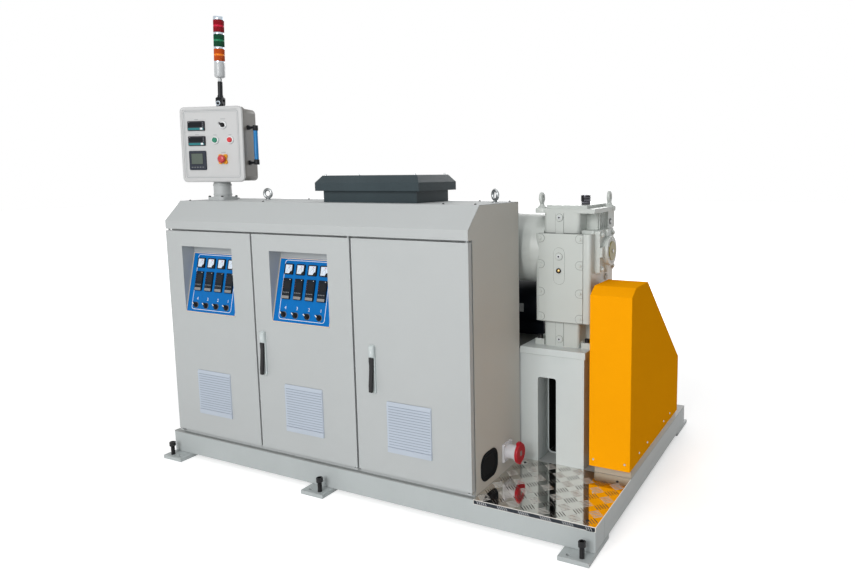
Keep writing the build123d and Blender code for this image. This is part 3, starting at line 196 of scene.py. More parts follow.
black_steel = painted("blackened_steel", (0.01, 0.01, 0.011), rough=0.36, grain=0.35, peel=0.03, cloud=0.3, shine=0.3)
foot_seat = 0.059
jack_bolts = []
for x in (-1.118, -0.145, 1.108):
    for y in (-0.79, 0.79):
        jack_bolts += [at(black_steel, socket_screw(17, 4, 30, 20), (x, y, foot_seat)),
                       at(black_steel, thread(19.5, 2.5, 60), (x, y, 0.002))]
make("jack_bolts", "base", jack_bolts, ("levelling_bolts",))

# Deck: grey sheet on the beams, and a bright five-bar tread plate at the right.
# The bars are rolled into the aluminium in groups that turn by a right angle.
deck_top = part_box("deck_sheet")[1].z
dress(painted("deck_grey_paint", (0.3, 0.315, 0.31), rough=0.5, cloud=0.12, dust=0.6), "deck_sheet")


def rolled_metal(name, colour, rough=0.24, scratch=140.0, stretch=(1, 1, 1)):
    """Bare metal: fine noise pulled along stretch gives the rolling or turning marks, and slow noise the gloss."""
    m, tree, shader = blank(name)
    place = (add(tree, "TexCoord", {}), "Object")
    pull = (add(tree, "Mapping", {"Vector": place, "Scale": stretch}), "Vector")
    marks = (add(tree, "TexNoise", {"Scale": scratch, "Detail": 5.0, "Vector": pull}), "Fac")
    cloud = (add(tree, "TexNoise", {"Scale": 6.0, "Detail": 5.0, "Vector": place}), "Fac")
    both = (add(tree, "Math", {0: marks, 1: cloud}, "MULTIPLY"), "Value")
    gloss = add(tree, "MapRange", {"Value": both, "From Min": 0.12, "From Max": 0.42, "To Min": rough * 0.7,
                                   "To Max": rough * 1.7})
    bump = add(tree, "Bump", {"Height": marks, "Strength": 0.35, "Distance": 0.0001})
    wire(tree, shader, {"Base Color": (*colour, 1.0), "Metallic": 1.0, "Roughness": (gloss, "Result"),
                        "Normal": (bump, "Normal")})
    return m


bright_plate = rolled_metal("bright_tread_plate", (0.76, 0.74, 0.7), rough=0.055, scratch=60.0, stretch=(1, 6, 1))
dress(bright_plate, "tread_plate")
tread_low, tread_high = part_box("tread_plate")
bar_length, bar_width, bar_rise, bar_pitch = 0.044, 0.004, 0.0012, 0.0118
cell = 5 * bar_pitch + 0.001


def tread_bars(way):
    """Five parallel lens-shaped bars to a cell, cells on a chequer grid, each turned by a right angle from the next.
    Of the two ways that the cells lie, way 0 or 1 picks one. No bar lies under the pedestal, the sill or the rims."""
    t = np.linspace(0, 2 * np.pi, 10, endpoint=False)
    rim = np.stack([np.cos(t) * bar_length / 2, np.sin(t) * np.abs(np.sin(t)) ** 0.3 * bar_width / 2, 0 * t], -1)
    bar = np.concatenate([rim, rim * (0.9, 0.62, 1) + (0, 0, bar_rise)])
    wide, deep = tread_high.x - tread_low.x, tread_high.y - tread_low.y
    nx, ny = int(wide / cell), int(deep / cell)
    gx, gy = [np.repeat(g.ravel(), 5) for g in np.meshgrid(np.arange(nx), np.arange(ny), indexing="ij")]
    shift = np.tile((np.arange(5) - 2) * bar_pitch, nx * ny) * 0.94
    turn = np.pi / 4 + np.pi / 2 * ((gx + gy) % 2)
    c, s = np.cos(turn), np.sin(turn)
    mx = tread_low.x + (gx + 0.5) * wide / nx - s * shift
    my = tread_low.y + (gy + 0.5) * deep / ny + c * shift
    beneath = ((mx > 0.606) & (mx < 0.94) & (my > -0.31)) | ((mx > 0.955) & (my > -0.345))
    inside = (mx > tread_low.x + 0.012) & (mx < tread_high.x - 0.012) & (my > tread_low.y + 0.012)
    keep = inside & ~beneath & ((gx + gy) % 2 == way)
    c, s, mx, my = [v[keep][:, None] for v in (c, s, mx, my)]
    x = mx + c * bar[:, 0] - s * bar[:, 1]
    y = my + s * bar[:, 0] + c * bar[:, 1]
    start = np.arange(len(mx)) * 20
    flanks = np.array([[i, (i + 1) % 10, 10 + (i + 1) % 10, 10 + i] for i in range(10)]) + start[:, None, None]
    crowns = np.arange(10, 20) + start[:, None]
    return (np.stack([x, y, deck_top + 0 * x + bar[:, 2]], -1).reshape(-1, 3),
            flanks.reshape(-1, 4).tolist() + crowns.tolist())


def pan_screw(head, height):
    """A button head screw from its seat, with its socket."""
    return turned([(head / 2, 0), (head / 2, height * 0.35), (head * 0.42, height * 0.75), (head * 0.28, height),
                   (head * 0.17, height), (head * 0.16, height * 0.5)], 20)


zinc = rolled_metal("zinc_plated_steel", (0.6, 0.61, 0.62), rough=0.3, scratch=300.0)
# The bars of the two ways are one metal in two tones: way 0 gets painted light and way 1 painted shade, for how light
# falls on their slopes.
bar_painted_shade = rolled_metal("tread_bars_painted_shade", (0.17, 0.165, 0.155), rough=0.22, scratch=60.0)
bar_painted_light = rolled_metal("tread_bars_painted_light", (0.42, 0.41, 0.39), rough=0.26, scratch=60.0)
make("tread_plate_bars", "base", [(*tread_bars(0), bar_painted_light), (*tread_bars(1), bar_painted_shade)],
     smooth=60)
# The lip's front face is near black metal: painted shade on the face of the fold.
lip_painted_shade = rolled_metal("tread_lip_shade", (0.04, 0.046, 0.054), rough=0.3, scratch=60.0)
lip_wide, lip_z = (tread_high.x - tread_low.x) / MM - 4, 0.1135
lip = [at(lip_painted_shade, plate(lip_wide, 15, 1, [(0, 0), (0, 0.6)], 3),
          ((tread_low.x + tread_high.x) / 2, tread_low.y, lip_z), FRONT)]
c, s = math.cos(math.radians(62)), -math.sin(math.radians(62))
for k, x in enumerate(np.arange(tread_low.x + 0.02, tread_high.x - 0.015, 0.0093)):
    if k // 5 % 2 == 0:
        lip.append(at(zinc, plate(14, 2.2, 1, [(0, 0), (0, 0.8), (0.6, 1.3)], 3), (x, tread_low.y, lip_z),
                      ((c, 0, s), (-s, 0, c))))
make("tread_plate_lip", "base", lip)
make("tread_plate_screws", "base", [at(black_steel, pan_screw(12, 4), (x, y, deck_top)) for x, y in
                                    ((0.662, -0.335), (1.1, -0.345), (1.1, -0.71), (0.662, -0.71))])

# Cabinet: folded steel sheet in pale grey powder coat with a fine texture.
# Panels, roof and rails are spot welded; the doors hang on pins inside.
powder = dict(rough=0.5, grain=1.2, peel=0.07, cloud=0.02)
pale_grey = painted("pale_grey_powder_coat", (0.462, 0.484, 0.484), **powder)
# The side panels get a lighter, warmer copy of the cabinet's paint: painted light, for the brighter, warmer light that
# falls on that side.
dress(painted("side_panel_painted_light", (0.53, 0.525, 0.485), **powder), "side_panels")
dress(pale_grey, "back_panel", "front_frame")
dress(pale_grey, "door_1", "door_2", "door_3", "roof", edge=0.0015)
# The console housings get a darker grey: painted shade on the recesses' ceilings and walls.
dress(painted("recess_painted_shade", (0.42, 0.445, 0.455), rough=0.55, grain=1.2, cloud=0.04),
      "console_housing_1", "console_housing_2")
dress(rolled_metal("zinc_coated_sheet", (0.62, 0.63, 0.63), rough=0.42, scratch=25.0), "mounting_plate")

# Consoles: in two doors a blue enamelled panel slopes back from the door face.
# Its edge is a cream strip, and the instruments are clamped from behind.
door_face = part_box("door_1")[0].y
slope_deep, slope_tall = 0.071, 0.29
panel_rise = math.atan2(slope_deep, slope_tall)
PANEL_X, PANEL_Y = np.array((1.0, 0, 0)), np.array((0, math.sin(panel_rise), math.cos(panel_rise)))
cream = painted("cream_edge", (0.72, 0.58, 0.42), rough=0.5, peel=0.03)
dress(painted("blue_enamel", (0.001, 0.15, 0.47), rough=0.34, grain=0.8, peel=0.03, shine=0.12),
      "console_panel_1", "console_panel_2")


def prism(outline, z0, z1):
    """A flat outline, taken counter-clockwise, raised from z0 to z1 along the local Z axis."""
    p = np.array(outline, float)
    return skin(np.stack([np.column_stack([p, np.full(len(p), z)]) for z in (z0, z1)]))


def slab(x0, x1, y0, y1, z0, z1):
    """A block between two corners."""
    return prism([(x0, y0), (x1, y0), (x1, y1), (x0, y1)], z0, z1)


def band(width, length, corner, line, height, arc=6):
    """A raised line round a rounded rectangle: the outer and inner rims are joined over the top and underneath."""
    verts, faces = plate(width, length, corner, [(0, 0), (0, height), (line, height), (line, 0)], arc)
    m = 4 * arc
    return verts, faces[:-2] + [[3 * m + i, 3 * m + (i + 1) % m, (i + 1) % m, i] for i in range(m)]


def moved(shape, x, y, turn=0.0):
    """The shape turned about its local Z axis, then moved by x and y."""
    c, s = math.cos(turn), math.sin(turn)
    return shape[0] @ np.array([(c, s, 0), (-s, c, 0), (0, 0, 1)]) + (x, y, 0), shape[1]


def panel_foot(k):
    """The middle of console panel k's lower edge, in the plane of the door's face."""
    low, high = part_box(f"console_panel_{k}")
    return np.array(((low.x + high.x) / 2, door_face, low.z))


def on_panel(finish, shape, foot, u, v):
    """A shape on the sloping panel, u millimetres to the right of its middle and v up from its foot."""
    return at(finish, shape, foot + MM * (u * PANEL_X + v * PANEL_Y), (PANEL_X, PANEL_Y))


white_print = painted("white_print", (0.8, 0.82, 0.84), rough=0.55, peel=0.02)
slope_long = math.hypot(slope_deep, slope_tall) / MM
for k in (1, 2):
    foot = panel_foot(k)
    edge = [on_panel(cream, slab(-167, 167, -2, 2, 0, 1.6), foot, 0, v) for v in (2.5, slope_long - 3.5)]
    edge += [on_panel(cream, slab(-1.5, 1.5, -147, 147, 0, 1.6), foot, u, slope_long / 2) for u in (-166.5, 166.5)]
    make(f"console_edge_{k}", f"door_{k}", edge)
    make(f"console_border_{k}", f"door_{k}", [on_panel(white_print, band(270, 272, 14, 2.4, 0.4), foot, 0, 152)])

# Ammeters: 48 mm square, a black bezel with a white dial behind clear plastic.
# The lower right corner of the dial is the black cover of the movement.
black_plastic = painted("black_plastic", (0.009, 0.009, 0.01), rough=0.36, grain=0.5, peel=0.03, cloud=0.25, shine=0.18)
dial_white = painted("dial_white", (0.72, 0.8, 0.9), rough=0.22, peel=0.0, shine=0.3)
dial_black_and_painted_shade = painted("dial_black_and_painted_shade", (0.008, 0.008, 0.01), rough=0.35, peel=0.0, shine=0.15)
dial_red = painted("dial_red", (0.62, 0.05, 0.04), rough=0.4, peel=0.0)
columns = (np.arange(4) - 1.5) * 69.5
pivot = (16.5, -16.5)
cover = [(20, -20)] + [(20 + 13 * math.cos(t), -20 + 13 * math.sin(t)) for t in np.linspace(0.5 * np.pi, np.pi, 9)]
ammeter = [(black_plastic, band(50, 50, 6, 5.2, 7.2, 4)),
           (dial_white, plate(41.2, 41.2, 1.5, [(0, 0.2), (0, 6)], 3)),
           (dial_black_and_painted_shade, prism(cover, 5.8, 6.8)), (dial_red, slab(2, 10, 12.5, 15, 6, 6.2))]
ammeter += [(dial_black_and_painted_shade, moved(slab(25.5, 29.5, -0.3, 0.3, 6.1, 6.3), *pivot, angle))
            for angle in np.radians(np.linspace(100, 170, 8))]
pointer = prism([(10, -0.5), (28.5, -0.2), (28.5, 0.2), (10, 0.5)], 6.2, 6.4)
ammeter.append((dial_black_and_painted_shade, moved(pointer, *pivot, math.radians(118))))

# Controllers: 48 by 96 mm, slate plastic. Lamps stand down the left edge, a
# dark window fills the upper half, and four keys and a grey strip the foot.
mould = dict(grain=0.6, peel=0.03)
slate_plastic = painted("slate_plastic", (0.009, 0.013, 0.019), rough=0.4, grain=0.6, peel=0.04, cloud=0.15, shine=0.1)
key_grey = painted("key_grey", (0.16, 0.17, 0.18), rough=0.5, **mould)
strip_grey = painted("strip_grey", (0.24, 0.235, 0.23), **mould)
lamp_orange = painted("lamp_orange", (0.62, 0.12, 0.03), rough=0.3, peel=0.0)
dark_window = painted("dark_window", (0.006, 0.008, 0.011), rough=0.14, peel=0.0, shine=0.2)


def pad(width, length, corner, edge, top, x, y, seat=6.9, arc=3):
    """A small plate that stands out of an instrument's face at x and y, with its edge broken by edge at the top."""
    return moved(plate(width, length, corner, [(0, seat), (edge, top)], arc), x, y)


controller = [(slate_plastic, plate(48, 96, 3, [(0, 0), (0, 5.8), (1, 7)], 3)),
              (dark_window, pad(30, 36, 1.5, 0.6, 7.4, 3, 17)), (strip_grey, pad(42, 13, 1.5, 0.6, 7.8, 0, -38.5, 6.8)),
              (white_print, pad(4, 3.5, 0.8, 0.3, 7.3, 16, 42.5))]
controller += [(key_grey, pad(7, 5, 1.2, 0.4, 8, u, -17)) for u in (-15, -5, 5, 15)]
controller += [(lamp_orange, pad(2.6, 1.6, 0.6, 0.3, 7.3, -18.5, v)) for v in (36, 25, 14, 3)]
controller += [(strip_grey, pad(1.6, 1.6, 0.6, 0.3, 7.3, u, -25.5)) for u in np.linspace(-16, 16, 6)]

# Rotary switches: a black grip on a black skirt in a grey ring. A white line
# on the tip points up to the left, and the numbers are printed.


def numeral(text, size):
    """The outline of one plain numeral, centred, as a mesh raised by 0.4 mm."""
    curve = bpy.data.curves.new("numeral", "FONT")
    curve.body, curve.size, curve.extrude = text, size, 0.2
    curve.align_x, curve.align_y = "CENTER", "CENTER"
    holder = bpy.data.objects.new("numeral", curve)
    mesh = bpy.data.meshes.new_from_object(holder)
    verts = np.empty(len(mesh.vertices) * 3)
    mesh.vertices.foreach_get("co", verts)
    faces = [list(face.vertices) for face in mesh.polygons]
    bpy.data.objects.remove(holder)
    bpy.data.curves.remove(curve)
    bpy.data.meshes.remove(mesh)
    return verts.reshape(-1, 3) + (0, 0, 0.2), faces


switch = [(key_grey, turned([(15, 0), (15, 1.6), (14.2, 2.6), (13, 2.6), (12.8, 1)], 28)),
          (black_plastic, turned([(12.8, 0), (12.8, 7), (11.6, 8.5)], 28)),
          (black_plastic, moved(plate(30, 10, 4, [(0, 4), (0, 13), (1.3, 15)], 4), 3.5, 0)),
          (white_print, pad(12.5, 4.6, 1.4, 0.2, 15.3, 12, 0, 14.9))]
for k in (1, 2):
    foot = panel_foot(k)
    rows = [(ammeter, 246, 0), (controller, 156, 0), (switch, 38, math.radians(142))]
    parts = [on_panel(finish, moved(shape, 0, 0, turn), foot, u, v) for piece, v, turn in rows for u in columns
             for finish, shape in piece]
    make(f"console_instruments_fitted_{k}", f"door_{k}", parts, (f"console_instruments_{k}",), 30)
    figures = [on_panel(white_print, numeral(text, 21), foot, u + 4, 69) for text, u in zip("4321", columns)]
    make(f"console_numbers_{k}", f"door_{k}", figures)

# Filter grilles: moulded in blue-grey plastic and clipped into the doors. The
# blades overlap like roof tiles, and a plain strip closes the foot.
grille_grey = painted("grille_blue_grey", (0.47, 0.525, 0.6), rough=0.5, grain=0.7, cloud=0.03)
blade_painted_shadow = painted("blade_painted_shadow_strip", (0.265, 0.31, 0.375), rough=0.6, grain=0.7, peel=0.03, cloud=0.03)
strip_tall, blade_count, low_face, high_face = 26, 16, 1.5, 7
for k in (1, 2, 3):
    low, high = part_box(f"filter_grille_{k}")
    side, middle = (high.x - low.x) / MM, (low.x + high.x) / 2
    place, outward = (middle, door_face, low.z), ((0, -1, 0), (0, 0, 1))
    pitch = (side - strip_tall - 6) / blade_count
    tiles = [(0, 0), (high_face - 1, 0), (high_face - 1, strip_tall - 3), (low_face, strip_tall - 2)]
    for z in strip_tall + pitch * np.arange(blade_count):
        tiles += [(low_face, z), (high_face, z + 0.8), (low_face + 1.2, z + pitch - 0.4)]
    tiles += [(low_face, side), (0, side)]
    parts = [at(grille_grey, prism(tiles, -side / 2 + 1, side / 2 - 1), place, outward),
             at(grille_grey, plate(side, side, 3, [(0, 0), (0, 1.8), (0.8, 2.6), (4, 2.6), (4, 1)], 3),
                (middle, door_face, (low.z + high.z) / 2), FRONT)]
    # Under each blade's lip and over the foot strip lies a dark strip: painted shadow, so that the blades show as
    # lines.
    painted_shadow_strips = [(25.5, 1.7, 2.4)] + [(strip_tall + pitch * (i + 1) - 3.4, 3.4, 4.6) for i in range(blade_count - 1)]
    for z, tall, out in painted_shadow_strips:
        blade_shadow_outline = [(0, z), (out, z), (out - 1.2, z + tall), (0, z + tall)]
        parts.append(at(blade_painted_shadow, prism(blade_shadow_outline, -side / 2 + 6, side / 2 - 8), place, outward))
    make(f"filter_grille_fitted_{k}", f"door_{k}", parts, (f"filter_grille_{k}",), 20)

# Swing handles: a pale plastic plate with a ridged head over the lock, and a
# black lever that lies along it and swings out. Screwed from inside the door.
satin_metal = rolled_metal("satin_metal", (0.62, 0.63, 0.64), rough=0.34, scratch=260.0)
handle_pale = painted("handle_pale_plastic", (0.53, 0.585, 0.585), rough=0.33, cloud=0.03, coat=0.2, **mould)
lever_black = painted("lever_black_plastic", (0.008, 0.008, 0.009), rough=0.3, cloud=0.2, shine=0.3, **mould)


def swollen(sides, power):
    """The cosine and sine round a circle that a power below 1 swells towards a square."""
    t = np.linspace(0, 2 * np.pi, sides, endpoint=False)
    return [np.sign(v) * np.abs(v) ** power for v in (np.cos(t), np.sin(t))]


def lever():
    """Rounded sections stacked from the foot of the lever to its head: height, half width, inner and outer distance."""
    z, half, inner, outer = np.array([
        (0, 7, 17, 25), (3, 8.5, 16, 29), (30, 9.2, 14, 28), (75, 9.6, 10, 22), (115, 10.4, 8, 18),
        (135, 11.2, 8, 19), (150, 11.2, 8, 19)])[:, :, None].swapaxes(0, 1)
    cx, cy = swollen(16, 0.5)
    return skin(np.stack([half * cx, (outer - inner) / 2 * cy - (inner + outer) / 2, z + 0 * cx], -1))


for k in (2, 3):
    low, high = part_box(f"swing_handle_{k}")
    x, tall = (low.x + high.x) / 2, (high.z - low.z) / MM
    head_z = high.z - 0.029
    back = plate(28, tall, 9, [(0, 0), (0, 6.5), (2.2, 8.5)], 6)
    head = plate(28, 56, 8, [(0, 6), (0, 11), (3, 15.5), (9.5, 19.5)])
    keyhole = turned([(5.5, 19), (5.5, 20.5), (4.8, 21), (3.5, 21), (3.4, 19.5)], 20)
    parts = [at(handle_pale, back, (x, door_face, (low.z + high.z) / 2), FRONT),
             at(handle_pale, head, (x, door_face, head_z), FRONT),
             at(satin_metal, keyhole, (x, door_face + 0.0012, head_z), FRONT),
             at(lever_black, lever(), (x, door_face, low.z + 0.008))]
    make(f"swing_handle_fitted_{k}", f"door_{k}", parts, (f"swing_handle_{k}",))

# Roof ventilator: a folded collar and a hood in slate grey paint. Small bright
# bolts stand on the hood where its inner ribs are fixed.
slate_paint = painted("slate_grey_paint", (0.036, 0.052, 0.059), 0.4, grain=1.0, peel=0.08, cloud=0.14, shine=0.18)
dress(slate_paint, "vent_collar", "vent_hood", edge=0.0018)
hood_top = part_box("vent_hood")[1].z
hood_bolt = turned([(6, 0), (6, 1), (4.5, 1.2), (4.5, 5), (3, 6.8), (1.2, 7.5)], 16)
make("hood_bolts", "base", [at(zinc, hood_bolt, (x, y, hood_top)) for x in (-0.22, 0.268) for y in (-0.577, -0.34)])

# Lifting eyes: drop forged steel, zinc plated, screwed into the roof. The ring
# is round in section, and its neck spreads to a collar on the sheet.
roof_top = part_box("roof")[1].z


def ring(radius, wire, around=28, across=12, squash=1.0):
    """A round bar of radius wire bent to a circle in the local XZ plane, closed on itself both ways."""
    a = np.linspace(0, 2 * np.pi, around, endpoint=False)[:, None]
    b = np.linspace(0, 2 * np.pi, across, endpoint=False)[None, :]
    r = radius + wire * np.cos(b)
    verts = np.stack([r * np.cos(a), wire * squash * np.sin(b) + 0 * a, r * np.sin(a)], -1).reshape(-1, 3)
    i, j = np.meshgrid(np.arange(around), np.arange(across), indexing="ij")
    n, m = (i + 1) % around, (j + 1) % across
    faces = np.stack([i * across + j, n * across + j, n * across + m, i * across + m], -1)
    return verts, faces.reshape(-1, 4).tolist()


forged = rolled_metal("zinc_plated_forging", (0.34, 0.355, 0.36), scratch=90.0)
eye_y = -0.415
eye_foot = turned([(15, 0), (15, 3.5), (10.5, 5), (7.2, 8.5), (7, 13)], 20)
eyes = []
for x, turn in ((-0.75, 10), (0.566, -32)):
    c, s = math.cos(math.radians(turn)), math.sin(math.radians(turn))
    eyes += [at(forged, ring(20.5, 7.2), (x, eye_y, roof_top + 0.0315), ((c, s, 0), (-s, c, 0))),
             at(forged, eye_foot, (x, eye_y, roof_top))]
make("lifting_eye_bolts", "base", eyes, ("lifting_eyes",))
make("roof_screws", "base", [at(black_steel, pan_screw(10, 4.5), (x, y, roof_top))
                             for x in (-1.06, -0.56, 0.44, 0.59) for y in (-0.632, -0.325)])

# Cable opening: a black rubber lining with a rolled rim is pressed into the
# side panel, and a ribbed membrane closes it.
side_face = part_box("side_panels")[1].x
rubber = painted("black_rubber", (0.009, 0.011, 0.013), rough=0.5, grain=0.5, cloud=0.3, shine=0.06)
lining_and_tunnel_shade = plate(146, 122, 46, [(0, 0), (0, 3), (1.5, 4.6), (4, 5), (7, 4), (8.5, 1.2), (14, 1), (15.5, 2.2), (17.5, 2.2),
                              (19, 1), (30, 0.8)], 8)
make("cable_lining", "base", [at(rubber, lining_and_tunnel_shade, (side_face, -0.604, 0.215), RIGHT)], ("cable_gland",))

# Power socket: a pale square flange and a round barrel in plastic, with a red
# flap that is hinged at the top and has a grey pad in its middle.
socket_pale = painted("socket_pale_plastic", (0.7, 0.7, 0.73), rough=0.36, **mould)
socket_red = painted("socket_red_plastic", (0.44, 0.008, 0.018), 0.33, grain=0.6, peel=0.04, cloud=0.08, shine=0.25)
socket_at = np.array((side_face, -0.441, 0.214))
flap = turned([(41.5, 57), (44.5, 59), (45, 65), (43.5, 70), (39.5, 72), (37.5, 70.5), (17, 71)], 48)
sleeve = turned([(36, 8), (30.5, 13), (30.5, 46), (38, 49), (38.5, 58)], 40)
socket_parts = [at(finish, shape, socket_at + (0, 0, rise), RIGHT) for finish, shape, rise in (
    (socket_pale, plate(84, 84, 6, [(0, 0), (0, 6), (1.8, 8)]), 0), (socket_pale, sleeve, 0), (socket_red, flap, 0),
    (strip_grey, plate(18, 22, 2, [(0, 70), (0, 71.5), (0.6, 72)], 4), 0),
    (socket_red, plate(28, 20, 4, [(0, 54), (0, 66.5), (3, 69.5)], 4), 0.0385),
    (socket_red, plate(12, 12, 3, [(0, 56), (0, 68), (2, 70)], 4), -0.044))]
socket_parts += [at(zinc, pan_screw(9, 3), socket_at + (0.008, dy, dz), RIGHT)
                 for dy in (-0.034, 0.034) for dz in (-0.034, 0.034)]
make("power_socket_fitted", "base", socket_parts, ("power_socket",))

# Head support: a cast flange and a turned tube in the cabinet's paint. Four
# screws hold it on the roof, and the swivel ring turns on its top.
dress(pale_grey, "swivel_ring")
dress(pale_grey, "head_support", edge=0.0015)
head_foot = np.array((-0.979, -0.498, 1.405))
tube_foot = np.array((head_foot[0], head_foot[1], roof_top))
support_screws = [at(black_steel, pan_screw(13, 6.5), tube_foot + (dx, dy, 0.016))
                  for dx in (-0.045, 0.045) for dy in (-0.045, 0.045)]
support_screws += [at(pale_grey, turned([(43.5, -4), (45.2, -3), (45.2, 3), (43.5, 4)], 40), tube_foot + (0, 0, z))
                   for z in (0.028, 0.076)]
make("head_support_screws", "base", support_screws)

# Operating head: a pressed box in brown grey paint with a pale lid. The lid's
# rim is rounded, and a seam runs round its sunk panel.
turn, lean = math.radians(15.0), math.radians(-1.0)
HEAD_X = np.array((math.cos(turn), math.sin(turn), 0.0))
HEAD_Z = np.array((math.sin(turn) * math.sin(lean), -math.cos(turn) * math.sin(lean), math.cos(lean)))
HEAD_Y = np.cross(HEAD_Z, HEAD_X)
lid_front = -63


def in_head(x, y, z):
    """A point in the head's own axes, in millimetres from its foot."""
    return head_foot + MM * (x * HEAD_X + y * HEAD_Y + z * HEAD_Z)


def on_head(finish, shape, x, z, y=lid_front):
    """A shape on the head's front, facing out: x to the right and z up, in millimetres."""
    return at(finish, shape, in_head(x, y, z), (HEAD_X, HEAD_Z))


brown_grey = painted("brown_grey_paint", (0.175, 0.165, 0.15), rough=0.45, grain=1.0, peel=0.08, cloud=0.06)
lid_pale = painted("lid_pale_paint", (0.56, 0.565, 0.565), grain=1.0, cloud=0.02)
seam_print_and_painted_shadow = painted("seam_print_and_painted_shadow", (0.33, 0.35, 0.36), rough=0.5, peel=0.02)
dress(brown_grey, "control_box", edge=0.005)
lid_rim = [(1.5, -4), (0, -2), (0, 3.5), (2.5, 6.8), (6, 8), (15, 8), (16.5, 5.2)]
lid = [on_head(brown_grey, plate(340, 366, 20, [(0, -3), (0, 15), (1.2, 18)], 6), 0, 183, -40),
       on_head(lid_pale, plate(349, 376, 24, lid_rim, 6), -4.5, 181, -58)]
make("control_box_lid_fitted", "operating_head", lid, ("control_box_lid",))
seam = [on_head(seam_print_and_painted_shadow, line, -4, 182) for line in (band(306, 334, 12, 2.2, 0.8), band(292, 320, 10, 0.9, 0.7))]
captions = [on_head(seam_print_and_painted_shadow, slab(-w, w, -1.6, 1.6, 0, 0.3), x, z) for x, z, w in (
    (-86, 305.5, 10), (-86, 230.5, 10), (63, 306, 14), (16, 227.5, 9), (99, 227.5, 9), (58, 141, 12))]
make("head_lid_seam", "operating_head", seam + captions)

# Head instruments: two 96 by 48 mm meters with a teal strip and a white key,
# and a 96 mm square display with a grey green liquid crystal window.
meter_black = painted("meter_black_plastic", (0.02, 0.02, 0.026), 0.35, grain=0.5, peel=0.03, cloud=0.2, shine=0.2)
teal = painted("teal_print", (0.0, 0.15, 0.165), peel=0.02)
display_slate = painted("display_slate_plastic", (0.03, 0.036, 0.05), rough=0.38, cloud=0.12, shine=0.2, **mould)
crystal = painted("liquid_crystal_grey_green", (0.105, 0.13, 0.11), rough=0.16, peel=0.0, cloud=0.06, shine=0.3)
meter = [(meter_black, plate(96, 48, 4, [(0, 0), (0, 5.5), (1.5, 7)], 4)),
         (dark_window, pad(74, 22, 1.5, 0.8, 7.5, -5, 6)), (teal, pad(88, 11.5, 1.5, 0.6, 7.6, -1, -15)),
         (white_print, pad(15, 10.5, 2, 1, 8.2, 31, -14.5, arc=4)),
         (strip_grey, pad(5.5, 3.5, 0.8, 0.4, 7.4, -38, 18.5))]
meter += [(key_grey, pad(5, 4.2, 1, 0.6, 7.9, 40, y)) for y in (14, 6, -2)]
display = [(display_slate, plate(96, 96, 6, [(0, 0), (0, 5), (2, 7)])),
           (meter_black, pad(68, 57, 3, 0.8, 7.6, -1, 8, arc=4)),
           (crystal, pad(63, 52, 2, 0.4, 7.9, -1, 8, 7.5, 4))]
display += [(key_grey, pad(10.5, 4.5, 1.4, 0.6, 7.8, x, -34)) for x in (-30, -15, 0, 15, 30)]
parts = [on_head(finish, shape, -86, z) for piece, z in ((meter, 274), (meter, 199), (display, 102))
         for finish, shape in piece]
make("head_instruments", "operating_head", parts, ("head_meters",), 30)

# Head controls: a selector with a black grip, a green and a red push button in
# pale rings, and a red mushroom button on a yellow collar with four lobes.
ring_pale = painted("ring_pale_plastic", (0.84, 0.86, 0.86), rough=0.3, grain=0.6, peel=0.02, coat=0.3)
push_green = painted("push_green_plastic", (0.0, 0.2, 0.11), rough=0.27, peel=0.02, coat=0.4)
push_red = painted("push_red_plastic", (0.6, 0.012, 0.02), rough=0.27, peel=0.02, coat=0.4)
stop_red = painted("stop_red_plastic", (0.52, 0.022, 0.03), rough=0.33, peel=0.03, cloud=0.06, coat=0.3)
collar_yellow = painted("collar_yellow_plastic", (0.78, 0.33, 0.01), rough=0.38, peel=0.03)
push_cap = turned([(12.8, 3), (12.8, 10), (11.8, 11.5), (8.5, 11.3), (4, 10.9)])
lobe_turn = np.linspace(0, 2 * np.pi, 48, endpoint=False)
lobe = (25.8 - 5.6 * np.cos(4 * lobe_turn))[:, None] * np.stack([np.cos(lobe_turn), np.sin(lobe_turn)], -1)
mushroom = turned([(12.5, 6), (12.5, 12), (18.5, 14), (20, 16.5), (19.8, 20), (18, 23.5), (14, 25.8), (8, 26.8),
                   (2, 27)], 40)
selector, green, red, stop, grip_turn = (63, 276), (16, 202), (99, 202), (56, 107), math.radians(150)
# A thin grey disc a little right of and below each ring is its painted shadow.
controls = [on_head(seam_print_and_painted_shadow, turned([(20, 0), (20, 0.9)], 36), x + 1, z - 1) for x, z in (selector, green, red)]
controls += [on_head(ring_pale, turned([(18.5, 0), (18.5, 3), (17, 5.5), (13.8, 5.8), (13.2, 4)], 36), *spot)
             for spot in (selector, green, red)]
controls += [on_head(push_green, push_cap, *green), on_head(push_red, push_cap, *red),
             on_head(black_plastic, turned([(11.2, 3), (11.2, 9), (10.2, 10.5)]), *selector),
             on_head(black_plastic, moved(plate(32, 9.5, 4, [(0, 4), (0, 16.5), (1.6, 19)]), 0, 0, grip_turn), 60, 278),
             on_head(white_print, moved(pad(7.5, 2.2, 0.8, 0.2, 19.4, 10, 0, 18.8), 0, 0, grip_turn), 60, 278),
             on_head(collar_yellow, prism(lobe, 0, 6), *stop),
             on_head(collar_yellow, prism(lobe * 0.93, 5.9, 7.2), *stop), on_head(stop_red, mushroom, *stop)]
make("head_controls", "operating_head", controls, ("head_buttons",))

# Head handle: a blue tube between two black plastic brackets with round caps,
# screwed to the right side of the box.
tube_blue = painted("handle_blue_tube", (0.012, 0.2, 0.5), rough=0.27, grain=1.5, peel=0.02, cloud=0.07, shine=0.3)
grip_black = painted("bracket_black_plastic", (0.01, 0.011, 0.013), grain=0.6, peel=0.04, cloud=0.2, shine=0.2)
box_side, tube_reach = 164, 38


